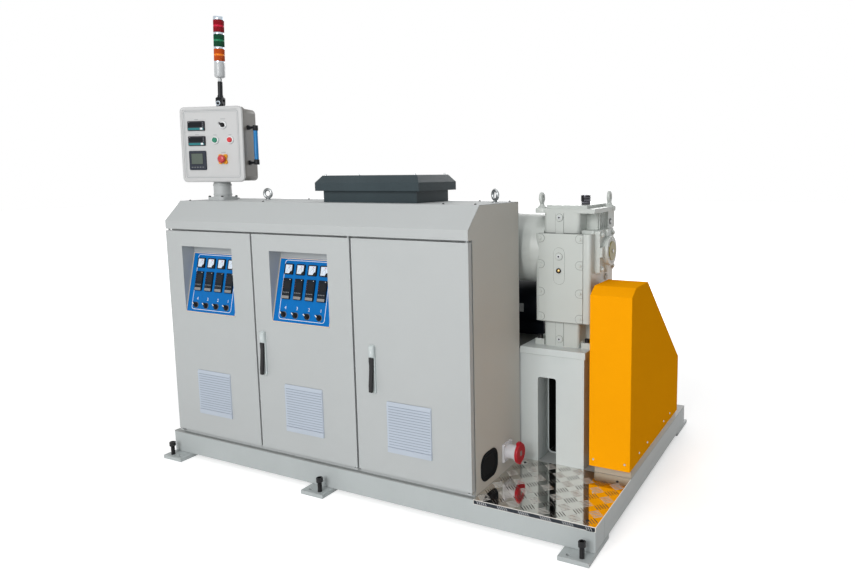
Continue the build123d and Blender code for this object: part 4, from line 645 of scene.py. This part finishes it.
def bracket_arm():
    """An arm from the box to the tube's end: rounded sections that turn from a flat foot into the round cap."""
    reach, wide, high = np.array([(0, 15, 12), (3, 15, 12), (6, 10, 7.5), (18, 8.5, 6), (30, 10, 6.5),
                                  (tube_reach, 12, 7)])[:, :, None].swapaxes(0, 1)
    cx, cy = swollen(20, 0.7)
    return skin(np.stack([wide * cx, high * cy, reach + 0 * cx], -1))


handle = [at(tube_blue, turned([(10.6, 98), (10.6, 258)], 28), in_head(box_side + tube_reach, 0, 0), (HEAD_X, HEAD_Y))]
for z, flip in ((90, 1), (266, -1)):
    handle += [at(grip_black, turned([(12.5, -10), (13.2, -7), (13.2, 14), (11.8, 16)], 28),
                  in_head(box_side + tube_reach, 0, z), (HEAD_X, flip * HEAD_Y)),
               at(grip_black, bracket_arm(), in_head(box_side, 0, z), (HEAD_Y, HEAD_Z))]
make("head_handle_fitted", "operating_head", handle, ("head_handle",))

# Signal tower: a tube folds on a black knuckle with a bright locking screw, and
# leans a little. A pale base carries orange, green and red lenses between rings.
tower_y, fold_z, tip = 20, 392, math.radians(1.7)
fold_point = in_head(0, tower_y, fold_z)
TOWER_Z = math.cos(tip) * HEAD_Z + math.sin(tip) * HEAD_X
TOWER_X = math.cos(tip) * HEAD_X - math.sin(tip) * HEAD_Z
bright_ring = rolled_metal("bright_ring", (0.5, 0.56, 0.62), rough=0.16, scratch=200.0)
tower_pale = painted("tower_pale_plastic", (0.5, 0.52, 0.53), rough=0.32, grain=0.6, peel=0.02, coat=0.2)


def in_tower(finish, shape):
    """A shape that stands on the fold axis and leans with the tower."""
    return at(finish, shape, fold_point, (TOWER_X, HEAD_Y))


def arch(radius, start, middle=0):
    """Points on a half circle from an angle on, counter-clockwise, about a middle on the local Y axis."""
    return [(radius * math.cos(t), middle + radius * math.sin(t)) for t in np.linspace(start, start + np.pi, 15)]


tongue = prism([(19, 0)] + arch(19, 0, 32) + [(-19, 0)], -8, 8)
knuckle = [at(grip_black, plate(40, 40, 6, [(0, 0), (0, 9.5), (2, 12)], 4), in_head(0, tower_y, 360), (HEAD_X, HEAD_Y)),
           on_head(grip_black, tongue, 0, 360, tower_y)]
make("tower_foot_fitted", "operating_head", knuckle, ("tower_foot",))
face, screw_at = (TOWER_X, TOWER_Z), fold_point - 0.004 * TOWER_X
cheek = arch(18.5, -np.pi) + [(18.5, 27), (-18.5, 27)]
pole = [at(grip_black, prism(cheek, a, b), fold_point, face) for a, b in ((8.3, 14.3), (-14.3, -8.3))]
pole += [in_tower(grip_black, shape) for shape in (
    plate(37, 28.6, 4, [(0, 19.5), (0, 26), (4, 32)], 4), turned([(14, 30), (14, 40), (11.8, 42)], 28),
    turned([(12, 40), (12, 108), (10.5, 109.5)], 28))]
pole += [at(bright_ring, turned([(13.5, 14), (13.5, 16.5), (12.2, 18), (8.5, 18), (8, 15)], 28), screw_at, face),
         at(black_plastic, turned([(7.8, 14), (7.8, 15.8)], 6), screw_at, face)]
make("tower_pole_fitted", "signal_tower", pole, ("tower_pole",))
body = [in_tower(tower_pale, turned([(10, 108.5), (10, 129)], 28)),
        in_tower(tower_pale, turned([(11, 126.5), (19, 128), (24, 132), (26, 140), (26, 200), (25.2, 203)], 44)),
        in_tower(bright_ring, turned([(25.2, 203), (26, 203.5), (26, 209), (25.2, 209.5)], 44))]
lens_foot, lens_pitch, lens_tall = 210, 71, 60
for k, top in enumerate((11, 11, 18)):
    z = lens_foot + lens_pitch * k + lens_tall
    rim = [(25, z), (26, z + 1), (26, z + top - 3), (25, z + top - 1), (20, z + top)]
    body.append(in_tower(bright_ring, turned(rim, 44)))
make("tower_body_fitted", "signal_tower", body, ("tower_body",))
t = np.linspace(0, 2 * np.pi, 176, endpoint=False)
lenses, painted_glints = [], []
for k, (name, deep, bright) in enumerate((("orange", (0.52, 0.075, 0.005), (0.92, 0.24, 0.02)),
                                          ("green", (0.001, 0.065, 0.026), (0.02, 0.22, 0.1)),
                                          ("red", (0.27, 0.002, 0.01), (0.62, 0.015, 0.05)))):
    clear = dict(rough=0.14, peel=0.0, cloud=0.1, shine=0.12)
    foot = lens_foot + lens_pitch * k
    drum = []
    for inset, z in ((2, 0), (0, 1.5), (0, lens_tall - 1.5), (2, lens_tall)):
        r = 25.3 - inset + (0 if inset else 0.7 * np.cos(44 * t))
        drum.append(np.stack([r * np.cos(t), r * np.sin(t), foot + z + 0 * t], -1))
    lenses.append(in_tower(painted("lens_" + name, deep, **clear), skin(np.stack(drum))))
    # A paler band round each lens's middle is a painted highlight.
    painted_glints.append(in_tower(painted("painted_glint_" + name, bright, **clear), turned(
        [(25.2, foot + 25), (26, foot + 26), (26, foot + 34), (25.2, foot + 35)], 44)))
make("tower_lenses_fitted", "signal_tower", lenses + painted_glints, ("tower_lenses",), 60)

# Pedestal: a box welded from sheet in the cabinet's paint, with a tunnel from
# front to back, dark inside with painted shade, and a thick top plate that carries the gearbox.
gear_grey = painted("gear_grey_paint", (0.54, 0.572, 0.545), rough=0.34, grain=1.6, cloud=0.03)
# One dark grey draws the joint round the cover, the rings round the plugs, and painted shade lines round the pads, the
# oval and the bosses.
joint_and_painted_shade = painted("gearbox_joints_and_painted_shade", (0.15, 0.165, 0.155), rough=0.5, peel=0.02)
pedestal_grey = painted("pedestal_grey_paint", (0.6, 0.645, 0.64), rough=0.4, grain=1.2, cloud=0.04)
dress(pedestal_grey, "pedestal")
dress(pedestal_grey, "pedestal_top", edge=0.002)
# The tunnel's walls, floor and roof are near black sheets: painted shade inside the tunnel.
painted_tunnel_shade = painted("tunnel_inside_painted_shade", (0.012, 0.012, 0.013), rough=0.6, shine=0.1)
tunnel_x, tunnel_z, inner_y = 0.7515, 0.3225, -0.055
lining_and_tunnel_shade = [at(pedestal_grey, band(88.8, 410, 22, 5, 6, 8), (tunnel_x, -0.172, tunnel_z + 0.006), FRONT)]
for x, z, wide, tall, axes in ((0.7072, tunnel_z, 230, 394, RIGHT), (0.7958, tunnel_z, 230, 394, LEFT),
                               (tunnel_x, 0.1242, 86, 230, UP),
                               (tunnel_x, 0.5208, 86, 230, ((-1, 0, 0), (0, 1, 0)))):
    lining_and_tunnel_shade.append(at(painted_tunnel_shade, plate(wide, tall, 2, [(0, 0), (0, 0.8)], 3), (x, inner_y, z), axes))
make("tunnel_rim_and_painted_shade", "base", lining_and_tunnel_shade)

# Gearbox: cast iron, machined on its joints and painted. The front cover sits
# on eight screws in half round pads, and bosses stand above and below it.
dress(gear_grey, "gearbox_housing", edge=0.0016)
dress(gear_grey, "bearing_flange", edge=0.002)
gear_x, cover_x, band_x, gear_floor = 0.811, 0.802, 0.788, 0.655
frame_face, cover_middle, flange_top = -0.254, 0.969, 1.274
oval_x = cover_x - 0.0065


def hex_screw(across, washer, height):
    """A hexagon head on a round washer, with the chamfer that turns its top to a circle."""
    r = across / math.sqrt(3)
    top = turned([(r, washer * 0.12), (r, height * 0.8), (r * 0.86, height)], 6)
    low = turned([(washer / 2, 0), (washer / 2, washer * 0.09), (washer * 0.46, washer * 0.12)], 24)
    return np.concatenate([low[0], top[0]]), low[1] + [[i + len(low[0]) for i in face] for face in top[1]]


def half_pad(radius, reach, height, way):
    """A pad on the cover's edge: straight for reach, then a half circle, out to the right or, with way -1, the left."""
    shape = prism([(0.4, radius), (0.4, -radius)] + [(reach + y, -x) for x, y in arch(radius, 0)], 0, height)
    return shape if way > 0 else (shape[0] * (-1, 1, 1), [face[::-1] for face in shape[1]])


dull_zinc = rolled_metal("dull_zinc_steel", (0.5, 0.51, 0.51), rough=0.42, scratch=200.0)
cover_at = (cover_x, frame_face, cover_middle)
cover_parts = [at(joint_and_painted_shade, plate(211, 396, 3, [(0, -4), (0, 0.4)], 3), cover_at, FRONT),
               at(gear_grey, plate(208, 393, 3, [(0, -4), (0, 2.2), (1, 3.2)], 3), cover_at, FRONT)]
pad_face = frame_face - 0.0031
# Each pad stands on a slightly larger dark one, whose rim shows as a painted shade line.
for z in (-0.176, -0.0635, 0.0605, 0.176):
    for edge, way, reach in ((-0.104, 1, 10), (0.104, -1, 15)):
        spot = np.array((cover_x + edge, pad_face, cover_middle + z))
        cover_parts += [at(joint_and_painted_shade, half_pad(19, reach, 0.4, way), spot, FRONT),
                        at(gear_grey, half_pad(17.4, reach, 1.6, way), spot, FRONT),
                        at(gear_grey, hex_screw(12.5, 17, 5.5), spot + (way * MM * (reach - 2), -0.0015, 0), FRONT)]
# The oval stands on a slightly larger dark one in the same way, its rim a painted shade line.
for finish, wide, height in ((joint_and_painted_shade, 53, 0.4), (gear_grey, 51, 1)):
    oval = plate(wide, wide + 112, wide / 2, [(0, 0), (0, height)], 10)
    cover_parts.append(at(finish, oval, (oval_x, pad_face, 1.023), FRONT))
make("gearbox_cover_fitted", "base", cover_parts, ("gearbox_cover",), 30)

plug_pale = painted("plug_pale", (0.62, 0.64, 0.66), rough=0.35, peel=0.02)
# The plugs' dark hexagons are painted shade in their sockets.
plug = [(joint_and_painted_shade, turned([(17.2, 0), (17.2, 1.4)])),
        (gear_grey, turned([(16, 0), (16, 3), (15.2, 3.6), (14, 3.6)])),
        (plug_pale, turned([(8.2, 3), (8.2, 5.6), (7.4, 6.4)], 28)), (dial_black_and_painted_shade, turned([(4.2, 5), (4.2, 6.7)], 6))]
gear_bolts = [at(finish, shape, spot, FRONT) for spot in (
    (band_x, -0.2332, 1.235), (band_x, -0.2332, 0.689), (oval_x, frame_face - 0.004, cover_middle + 0.0965))
              for finish, shape in plug]
for x in (-0.113, 0.113):
    spot = (cover_x + x, -0.218, gear_floor + 0.026)
    gear_bolts += [at(black_steel, socket_screw(10, 2, 24, 16), spot),
                   at(dull_zinc, turned([(14, 0), (14, 2.2)], 28), spot)]
# Thin dark strips under the upper boss, over the lower one and down the bosses' sides are painted shade lines.
shadow_line_face = -0.231
boss_shadow_lines = [(0.797, z, 156, 2.6) for z in (1.1668, 0.7712)]
boss_shadow_lines += [(band_x + x, z, 1.4, tall) for x in (-0.0192, 0.0192) for z, tall in ((1.2105, 84), (0.7135, 110))]
gear_bolts += [at(joint_and_painted_shade, plate(wide, tall, 0.4, [(0, 0), (0, 0.5)], 3), (x, shadow_line_face, z), FRONT)
               for x, z, wide, tall in boss_shadow_lines]
make("gearbox_screws", "base", gear_bolts)
brass = rolled_metal("brass", (0.7, 0.46, 0.18), rough=0.3, scratch=200.0)
glass_at = (oval_x - 0.0005, frame_face - 0.004, cover_middle + 0.034)
sight = [at(black_plastic, turned([(11.2, 0), (11.2, 6), (10, 7.2), (6.2, 7.2), (5.8, 5)]), glass_at, FRONT),
         at(brass, turned([(6, 3), (6, 5.8), (4.6, 6.6), (2.6, 6.8)], 24), glass_at, FRONT)]
make("oil_sight_glass", "base", sight)

# Bell housing: a turned steel shroud between the gearbox and the feed section.
# It is bolted to both, and its mouth is drawn in a little at the gearbox.
bell_left, axis_y, axis_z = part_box("bell_housing")[0].x, -0.108, 1.084
bell = turned([(150, 0), (159, 1), (159, 16), (156, 18), (156, 20), (159, 22), (159, 198), (157.8, 208), (154, 220),
               (149, 236), (144.8, 256)], 72)
make("bell_housing_fitted", "base", [at(gear_grey, bell, (bell_left, axis_y, axis_z), RIGHT)],
     ("bell_housing",))

# Gearbox eyes and breather: cast eyes on two corners of the top flange, and a
# chromed filter can on a hexagon, screwed into the top cover. The chrome is darkened as a painted dark reflection.
eye_bars, eye_way = [], ((-0.12, 0.993, 0), (-0.993, -0.12, 0))
for x, y in ((gear_x - 0.117, -0.209), (gear_x + 0.117, 0.033)):
    eye_bars += [at(gear_grey, ring(20, 8.5, squash=0.95), (x, y, flange_top + 0.044), eye_way),
                 at(gear_grey, turned([(20, 0), (20, 6), (14, 9.5), (11, 15), (10, 26)], 24), (x, y, flange_top)),
                 at(gear_grey, plate(52, 52, 14, [(0, -20), (0, -1), (2.5, 2.2)]), (x, y, flange_top))]
make("gearbox_eye_bolts", "base", eye_bars, ("gearbox_eyes",))
breather_at = (0.864, -0.108, flange_top + 0.014)
# The chrome is nearly black: a painted dark reflection.
chrome_painted_dark = rolled_metal("chrome_with_painted_dark_reflection", (0.085, 0.085, 0.095), rough=0.12, scratch=260.0)
can = turned([(18, 13), (21.5, 15), (22, 18), (22, 24), (20.5, 25.2), (20.5, 27), (22, 28.2), (22, 34), (20.5, 35.2),
              (20.5, 37), (22, 38.2), (21.6, 41.5), (18, 43.7), (9, 44)], 40)
breather = [at(chrome_painted_dark, nut(37, 20, 14), breather_at), at(chrome_painted_dark, can, breather_at)]
breather += [at(black_plastic, turned([(20, z), (21.2, z + 0.4), (21.2, z + 2), (20, z + 2.4)], 40), breather_at)
             for z in (24.6, 35.4)]
make("breather_fitted", "base", breather, ("breather",))

# Bearing flange and shaft cap: a square flange with four screws over the output
# shaft's far bearing, and an olive plastic cap with a hexagon plug.
olive = painted("olive_plastic", (0.245, 0.205, 0.03), rough=0.38, grain=0.7, peel=0.04, cloud=0.08, coat=0.1)
dark_hole = painted("dark_hole_shade", (0.05, 0.052, 0.056), rough=0.5, peel=0.02)
dress(olive, "shaft_cap", edge=0.0012)
flange_x, boss_x, cap_x, side_x = 0.965, 0.989, 0.993, 0.945
centre = np.array((flange_x, axis_y, axis_z))
bearing = [at(gear_grey, hex_screw(19, 24, 11), centre + (0, dy, dz), RIGHT) for dy in (-0.072, 0.072)
           for dz in (-0.076, 0.076)]
ridge = prism([(-95, -20), (-40, -30), (-40, 30), (-95, 20)], 0, 11)
for c, s in ((1, 0), (0, 1), (-1, 0), (0, -1)):
    bearing.append(at(gear_grey, ridge, centre, ((0, c, s), (0, -s, c))))
bearing.append(at(gear_grey, turned([(65.5, 0), (65.5, 15), (56, 23.6), (48, 24.2), (44, 23.6)], 56), centre, RIGHT))
for a in np.pi / 6 + np.arange(6) * np.pi / 3:
    bearing.append(at(dull_zinc, socket_screw(6, 1, 8.5, 3),
                      (boss_x - 0.001, axis_y + 0.051 * math.cos(a), axis_z + 0.051 * math.sin(a)), RIGHT))
bearing += [at(finish, shape, spot, RIGHT) for finish, shape, spot in (
    (dull_zinc, nut(15, 6, 3), (cap_x, axis_y, axis_z)),
    (gear_grey, turned([(15, 0), (15, 4), (13, 5.5), (8.5, 5.5), (8, 3.5)], 28), (0.941, -0.05, 0.958)),
    (dark_hole, turned([(14, 0), (14, 1.8), (9, 2.4)], 28), (side_x, -0.003, 1.2075)),
    (dull_zinc, turned([(7, 1), (7, 3.4), (6, 4)], 6), (side_x, -0.003, 1.2075)))]
make("bearing_flange_screws", "base", bearing)

# Feed section and barrel: bare machined steel behind the cabinet. The heaters
# are under a folded cover with cooling slots and quarter turn screws.
machined = rolled_metal("machined_steel", (0.42, 0.42, 0.43), rough=0.3, scratch=70.0, stretch=(0.15, 1, 1))
dress(machined, "barrel")
dress(machined, "feed_section", edge=0.0015)
dress(pale_grey, "barrel_cover", "barrel_stand", edge=0.002)
cover_low, cover_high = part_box("barrel_cover")
barrel_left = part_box("barrel")[0].x
feed_low, feed_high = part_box("feed_section")
# The cooling slots are thin black plates on the cover: painted shade for the openings.
slot = plate(6, 62, 2.9, [(0, 0), (0, 0.4), (0.6, 1)])
slots = [at(dial_black_and_painted_shade, slot, (cover_low.x + 0.13 + g * 0.33 + i * 0.016, y, z), axes) for y, z, axes in (
    (cover_high.y, axis_z - 0.01, BACK), (axis_y, cover_high.z, UP)) for g in range(3) for i in range(14)]
fixings = [at(dull_zinc, pan_screw(12, 4.5), (x, cover_high.y, z), BACK)
           for x in np.linspace(cover_low.x + 0.03, cover_high.x - 0.03, 6)
           for z in (cover_low.z + 0.02, axis_z + 0.066)]
for a in np.pi / 8 + np.arange(8) * np.pi / 4:
    spot = (barrel_left, axis_y + 0.078 * math.cos(a), axis_z + 0.078 * math.sin(a))
    fixings.append(at(black_steel, hex_screw(16, 20, 10), spot, LEFT))
fixings += [at(dull_zinc, hex_screw(13, 16.5, 8), (x, axis_y + dy, feed_high.z))
            for x in (feed_low.x + 0.018, feed_high.x - 0.018) for dy in (-0.068, 0.068)]
make("barrel_cover_slots", "base", slots)
make("barrel_fixings", "base", fixings)

# Barrel stand: a sheet steel cabinet under the barrel. Its back is closed by
# two service panels with recessed turn locks.
stand_low, stand_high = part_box("barrel_stand")
stand_wide, stand_back, panel_z = (stand_high.x - stand_low.x) / MM, stand_high.y - 0.01, 0.404
panel_wide = (stand_wide - 140) / 2
stand_painted_shade = painted("stand_top_painted_shade", (0.105, 0.108, 0.1), rough=0.6, grain=1.5, cloud=0.12)
lock = turned([(12, 0), (12, 2), (10.8, 3), (7, 3), (6.8, 1)], 28)
# A dark plate over the stand's top, under the barrel, is painted shade.
service = [at(stand_painted_shade, plate(stand_wide - 4, 496, 4, [(0, 0), (0, 0.6)], 3),
              ((stand_low.x + stand_high.x) / 2, -0.045, 0.644))]
for side in (-1, 1):
    middle = (stand_low.x + 0.01 + stand_high.x) / 2 + side * MM * (panel_wide + 20) / 2
    panel = plate(panel_wide, 360, 6, [(0, 0), (0, 2), (1, 3)], 4)
    service.append(at(pale_grey, panel, (middle, stand_back, panel_z), BACK))
    for x in (-0.42, 0.42):
        for z in (-0.15, 0.15):
            spot = (middle + x * MM * panel_wide, stand_back + 0.003, panel_z + z)
            # Each lock's slot is a black bar: painted shade in the slot.
            service += [at(satin_metal, lock, spot, BACK),
                        at(dial_black_and_painted_shade, plate(11, 2.6, 1, [(0, 0.8), (0, 2.2)], 3), spot, BACK)]
make("stand_service_panels", "base", service)

# Cooling blower: black aluminium volute with a finned motor. Its inlet has a
# wire guard, and a bare plate with rounded corners is riveted on its front.
blower_black = painted("blower_black_paint", (0.006, 0.008, 0.012), grain=1.4, peel=0.08, cloud=0.2, shine=0.12)
dress(blower_black, "cooling_blower", edge=0.003)
blow_low, blow_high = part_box("cooling_blower")
blow_y, blow_z, plate_x = (blow_low.y + blow_high.y) / 2, (blow_low.z + blow_high.z) / 2, 0.5125
fins = [at(blower_black, band(216, 216, 107, 15, 3, 8), (blow_low.x + 0.008 + 0.01 * i, blow_y, blow_z), RIGHT)
        for i in range(6)]
blank_plate = [at(painted("plate_pale", (0.5, 0.51, 0.5), rough=0.4, peel=0.02),
                  plate(24, 42, 3, [(0, 0), (0, 0.6), (0.4, 1)], 4), (plate_x, blow_low.y, blow_z), FRONT)]
blank_plate += [at(zinc, pan_screw(3, 1.4), (plate_x, blow_low.y - 0.0008, blow_z + dz), FRONT)
                for dz in (-0.018, 0.018)]
make("blower_fins_and_plate", "base", fins + blank_plate)

# Belt guard: folded sheet in orange yellow paint over the belt drive, closed
# all round. It hangs on screws through its lower edge and stands on a sill.
guard_yellow = painted("guard_yellow_paint", (1.0, 0.388, 0.003), rough=0.48, grain=1.3, cloud=0.02, shine=0.0)
# The sill's grey is warmed to beige: a painted reflection of the yellow guard.
sill_grey_with_painted_reflection = painted("sill_paint_with_painted_reflection", (0.42, 0.37, 0.29), rough=0.5, cloud=0.04)
make("guard_sill_fitted", "base", [at(sill_grey_with_painted_reflection, plate(168, 813, 4, [(0, 0), (0, 41.5), (1, 43)], 4),
                                      (1.061, 0.1165, deck_top))], ("guard_sill",))
guard_low, guard_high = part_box("belt_guard")
low, high, front, back = [v / MM for v in (guard_low.z, guard_high.z, guard_low.y, guard_high.y)]
screw_room = 4.2
shell = prism([(front, low), (back, low), (back, 464), (front + 240, high), (front + 57, high), (front, 918)],
              0, (guard_high.x - guard_low.x) / MM - screw_room)
fold = make("belt_guard_fitted", "base", [at(guard_yellow, shell, (guard_low.x, 0, 0), RIGHT)],
            ("belt_guard",)).modifiers.new("fold", "BEVEL")
fold.width, fold.segments = 0.0025, 3
guard_screw = pan_screw(10, 3.6)
guard_screws = [at(dull_zinc, guard_screw, (x, guard_low.y, 0.199), FRONT) for x in (0.987, 1.127)]
guard_screws += [at(dull_zinc, guard_screw, (guard_high.x - MM * screw_room, y, 0.204), RIGHT)
                 for y in (-0.194, -0.061, 0.238, 0.364)]
guard_screws += [at(dull_zinc, guard_screw, (x, guard_high.y, z), BACK)
                 for x in (guard_low.x + 0.03, guard_high.x - 0.03) for z in (guard_low.z + 0.019, 0.42)]
make("belt_guard_screws", "base", guard_screws)

# Drive motor: finned cast iron in black paint, with a pressed fan cowl, a cable
# box with a screwed lid, and a cable gland at the box's side.
motor_black = painted("motor_black_paint", (0.018, 0.02, 0.023), rough=0.4, grain=1.8, peel=0.08, cloud=0.18, shine=0.2)
dress(motor_black, "drive_motor", edge=0.0018)
motor_low, motor_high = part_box("drive_motor")
motor_y, motor_z = 0.365, 0.324
cowl = [at(dull_zinc, ring(r, 1.8, 40, 8), (motor_low.x + 0.0005, motor_y, motor_z), ((0, -1, 0), (-1, 0, 0)))
        for r in (24, 42, 60, 78, 96)]
# A black disc behind the rings and spokes is painted shade for the dark inside of the cowl.
cowl.append(at(dial_black_and_painted_shade, turned([(105, 0), (105, 0.8), (10, 1)], 48), (motor_low.x - 0.0002, motor_y, motor_z), LEFT))
for a in np.arange(6) * np.pi / 3:
    cowl.append(at(dull_zinc, slab(12, 106, -2.2, 2.2, 0, 2.2), (motor_low.x, motor_y, motor_z),
                   ((0, -math.cos(a), math.sin(a)), (0, math.sin(a), math.cos(a)))))
box_x = motor_low.x + 0.255
lid = [at(motor_black, plate(146, 126, 10, [(0, -12), (0, -2), (2, 0)]), (box_x, motor_y, motor_high.z))]
lid += [at(zinc, pan_screw(9, 3.5), (box_x + dx, motor_y + dy, motor_high.z - 0.0035))
        for dx in (-0.062, 0.062) for dy in (-0.052, 0.052)]
lid.append(at(black_plastic, turned([(14, 0), (14, 10), (11.5, 12), (11.5, 24), (8.5, 26)], 24),
              (box_x, motor_y + 0.065, motor_z + 0.175), BACK))
make("motor_cowl_grid", "base", cowl)
make("motor_box_lid", "base", lid)

# Studio: a pale floor and backdrop, soft lamps and the camera. The floor and the
# air look white to every ray but a diffuse one, and the floor keeps its shadow.
scene = bpy.context.scene
scene.view_settings.view_transform = "Standard"
WHITE = (1.0, 1.0, 1.0, 1.0)


def seen(tree):
    """One for a ray from the camera, off a gloss or through a clear part, and nought for any other."""
    ray = add(tree, "LightPath", {})
    either = (add(tree, "Math", {0: (ray, "Is Camera Ray"), 1: (ray, "Is Glossy Ray")}, "MAXIMUM"), "Value")
    return add(tree, "Math", {0: either, 1: (ray, "Is Transmission Ray")}, "MAXIMUM"), "Value"


# On top of the floor's shaded colour, a seen ray gets plain white, rising to full white from 2 m to 4 m away.
floor_white, tree, shader = blank("studio_floor_white")
wire(tree, shader, {"Base Color": (0.82, 0.82, 0.82, 1.0), "Roughness": 0.9, "Specular IOR Level": 0.1})
away = add(tree, "VectorMath", {0: (add(tree, "TexCoord", {}), "Object")}, "LENGTH")
ramp = add(tree, "MapRange", {"Value": (away, "Value"), "From Min": 2.0, "From Max": 4.0, "To Min": 0.5, "To Max": 1.0})
lift = add(tree, "Math", {0: seen(tree), 1: (ramp, "Result")}, "MULTIPLY")
glow = add(tree, "Emission", {"Strength": (lift, "Value")})
total = add(tree, "AddShader", {0: (shader, "BSDF"), 1: (glow, "Emission")})
wire(tree, tree.nodes["Material Output"], {"Surface": (total, "Shader")})
floor_mesh = bpy.data.meshes.new("studio_floor")
floor_mesh.from_pydata([(-30, -30, 0), (30, -30, 0), (30, 30, 0), (-30, 30, 0)], [], [(0, 1, 2, 3)])
floor_mesh.materials.append(floor_white)
floor = bpy.data.objects.new("studio_floor", floor_mesh)
scene.collection.objects.link(floor)

scene.world = bpy.data.worlds.new("studio_air")
scene.world.use_nodes = True
tree = scene.world.node_tree
air = tree.nodes["Background"]
wire(tree, air, {"Color": WHITE, "Strength": 0.33})
white = add(tree, "Background", {"Color": WHITE, "Strength": 1.0})
choose = add(tree, "MixShader", {"Fac": seen(tree), 1: (air, "Background"), 2: (white, "Background")})
wire(tree, tree.nodes["World Output"], {"Surface": (choose, "Shader")})


def stand(obj, place, right, up):
    """Sets an object that looks along its own -Z at a place, with its right and up directions."""
    obj.location = place
    obj.rotation_euler = Matrix(np.stack([right, up, np.cross(right, up)]).T.tolist()).to_euler()
    scene.collection.objects.link(obj)


for name, place, aim, size, watts in (("key_lamp", (0.4, -6.2, 3.0), (0.1, 0, 0.8), 3.0, 228.0),
                                      ("top_lamp", (0.2, -0.8, 5.2), (0, 0, 0.6), 3.6, 32.0),
                                      ("back_lamp", (-0.6, 6.2, 3.4), (0, 0, 0.6), 3.4, 120.0)):
    lamp = bpy.data.lights.new(name, "AREA")
    lamp.size, lamp.energy = size, watts
    gaze = np.array(aim, float) - np.array(place, float)
    gaze /= np.linalg.norm(gaze)
    right = np.cross(gaze, (0, 0, 1.0))
    right /= np.linalg.norm(right)
    stand(bpy.data.objects.new(name, lamp), place, right, np.cross(right, gaze))

# The camera stands in front of the right half, at breast height, turned a little to the left and down.
picture_wide, picture_tall, focal = 855, 570, 687.06
camera = bpy.data.cameras.new("camera")
camera.sensor_width, camera.clip_end = 36.0, 100.0
camera.lens = focal / picture_wide * camera.sensor_width
camera.shift_x, camera.shift_y = (picture_wide / 2 - 511.29) / picture_wide, (262.48 - picture_tall / 2) / picture_wide
yaw, pitch, roll = math.radians(26.4465), math.radians(7.3988), math.radians(0.496)
gaze = np.array([-math.sin(yaw) * math.cos(pitch), math.cos(yaw) * math.cos(pitch), -math.sin(pitch)])
level = np.array([math.cos(yaw), math.sin(yaw), 0.0])
down = np.cross(gaze, level)
scene.camera = bpy.data.objects.new("camera", camera)
stand(scene.camera, (1.9415, -3.0311, 1.4301), math.cos(roll) * level + math.sin(roll) * down,
      math.sin(roll) * level - math.cos(roll) * down)
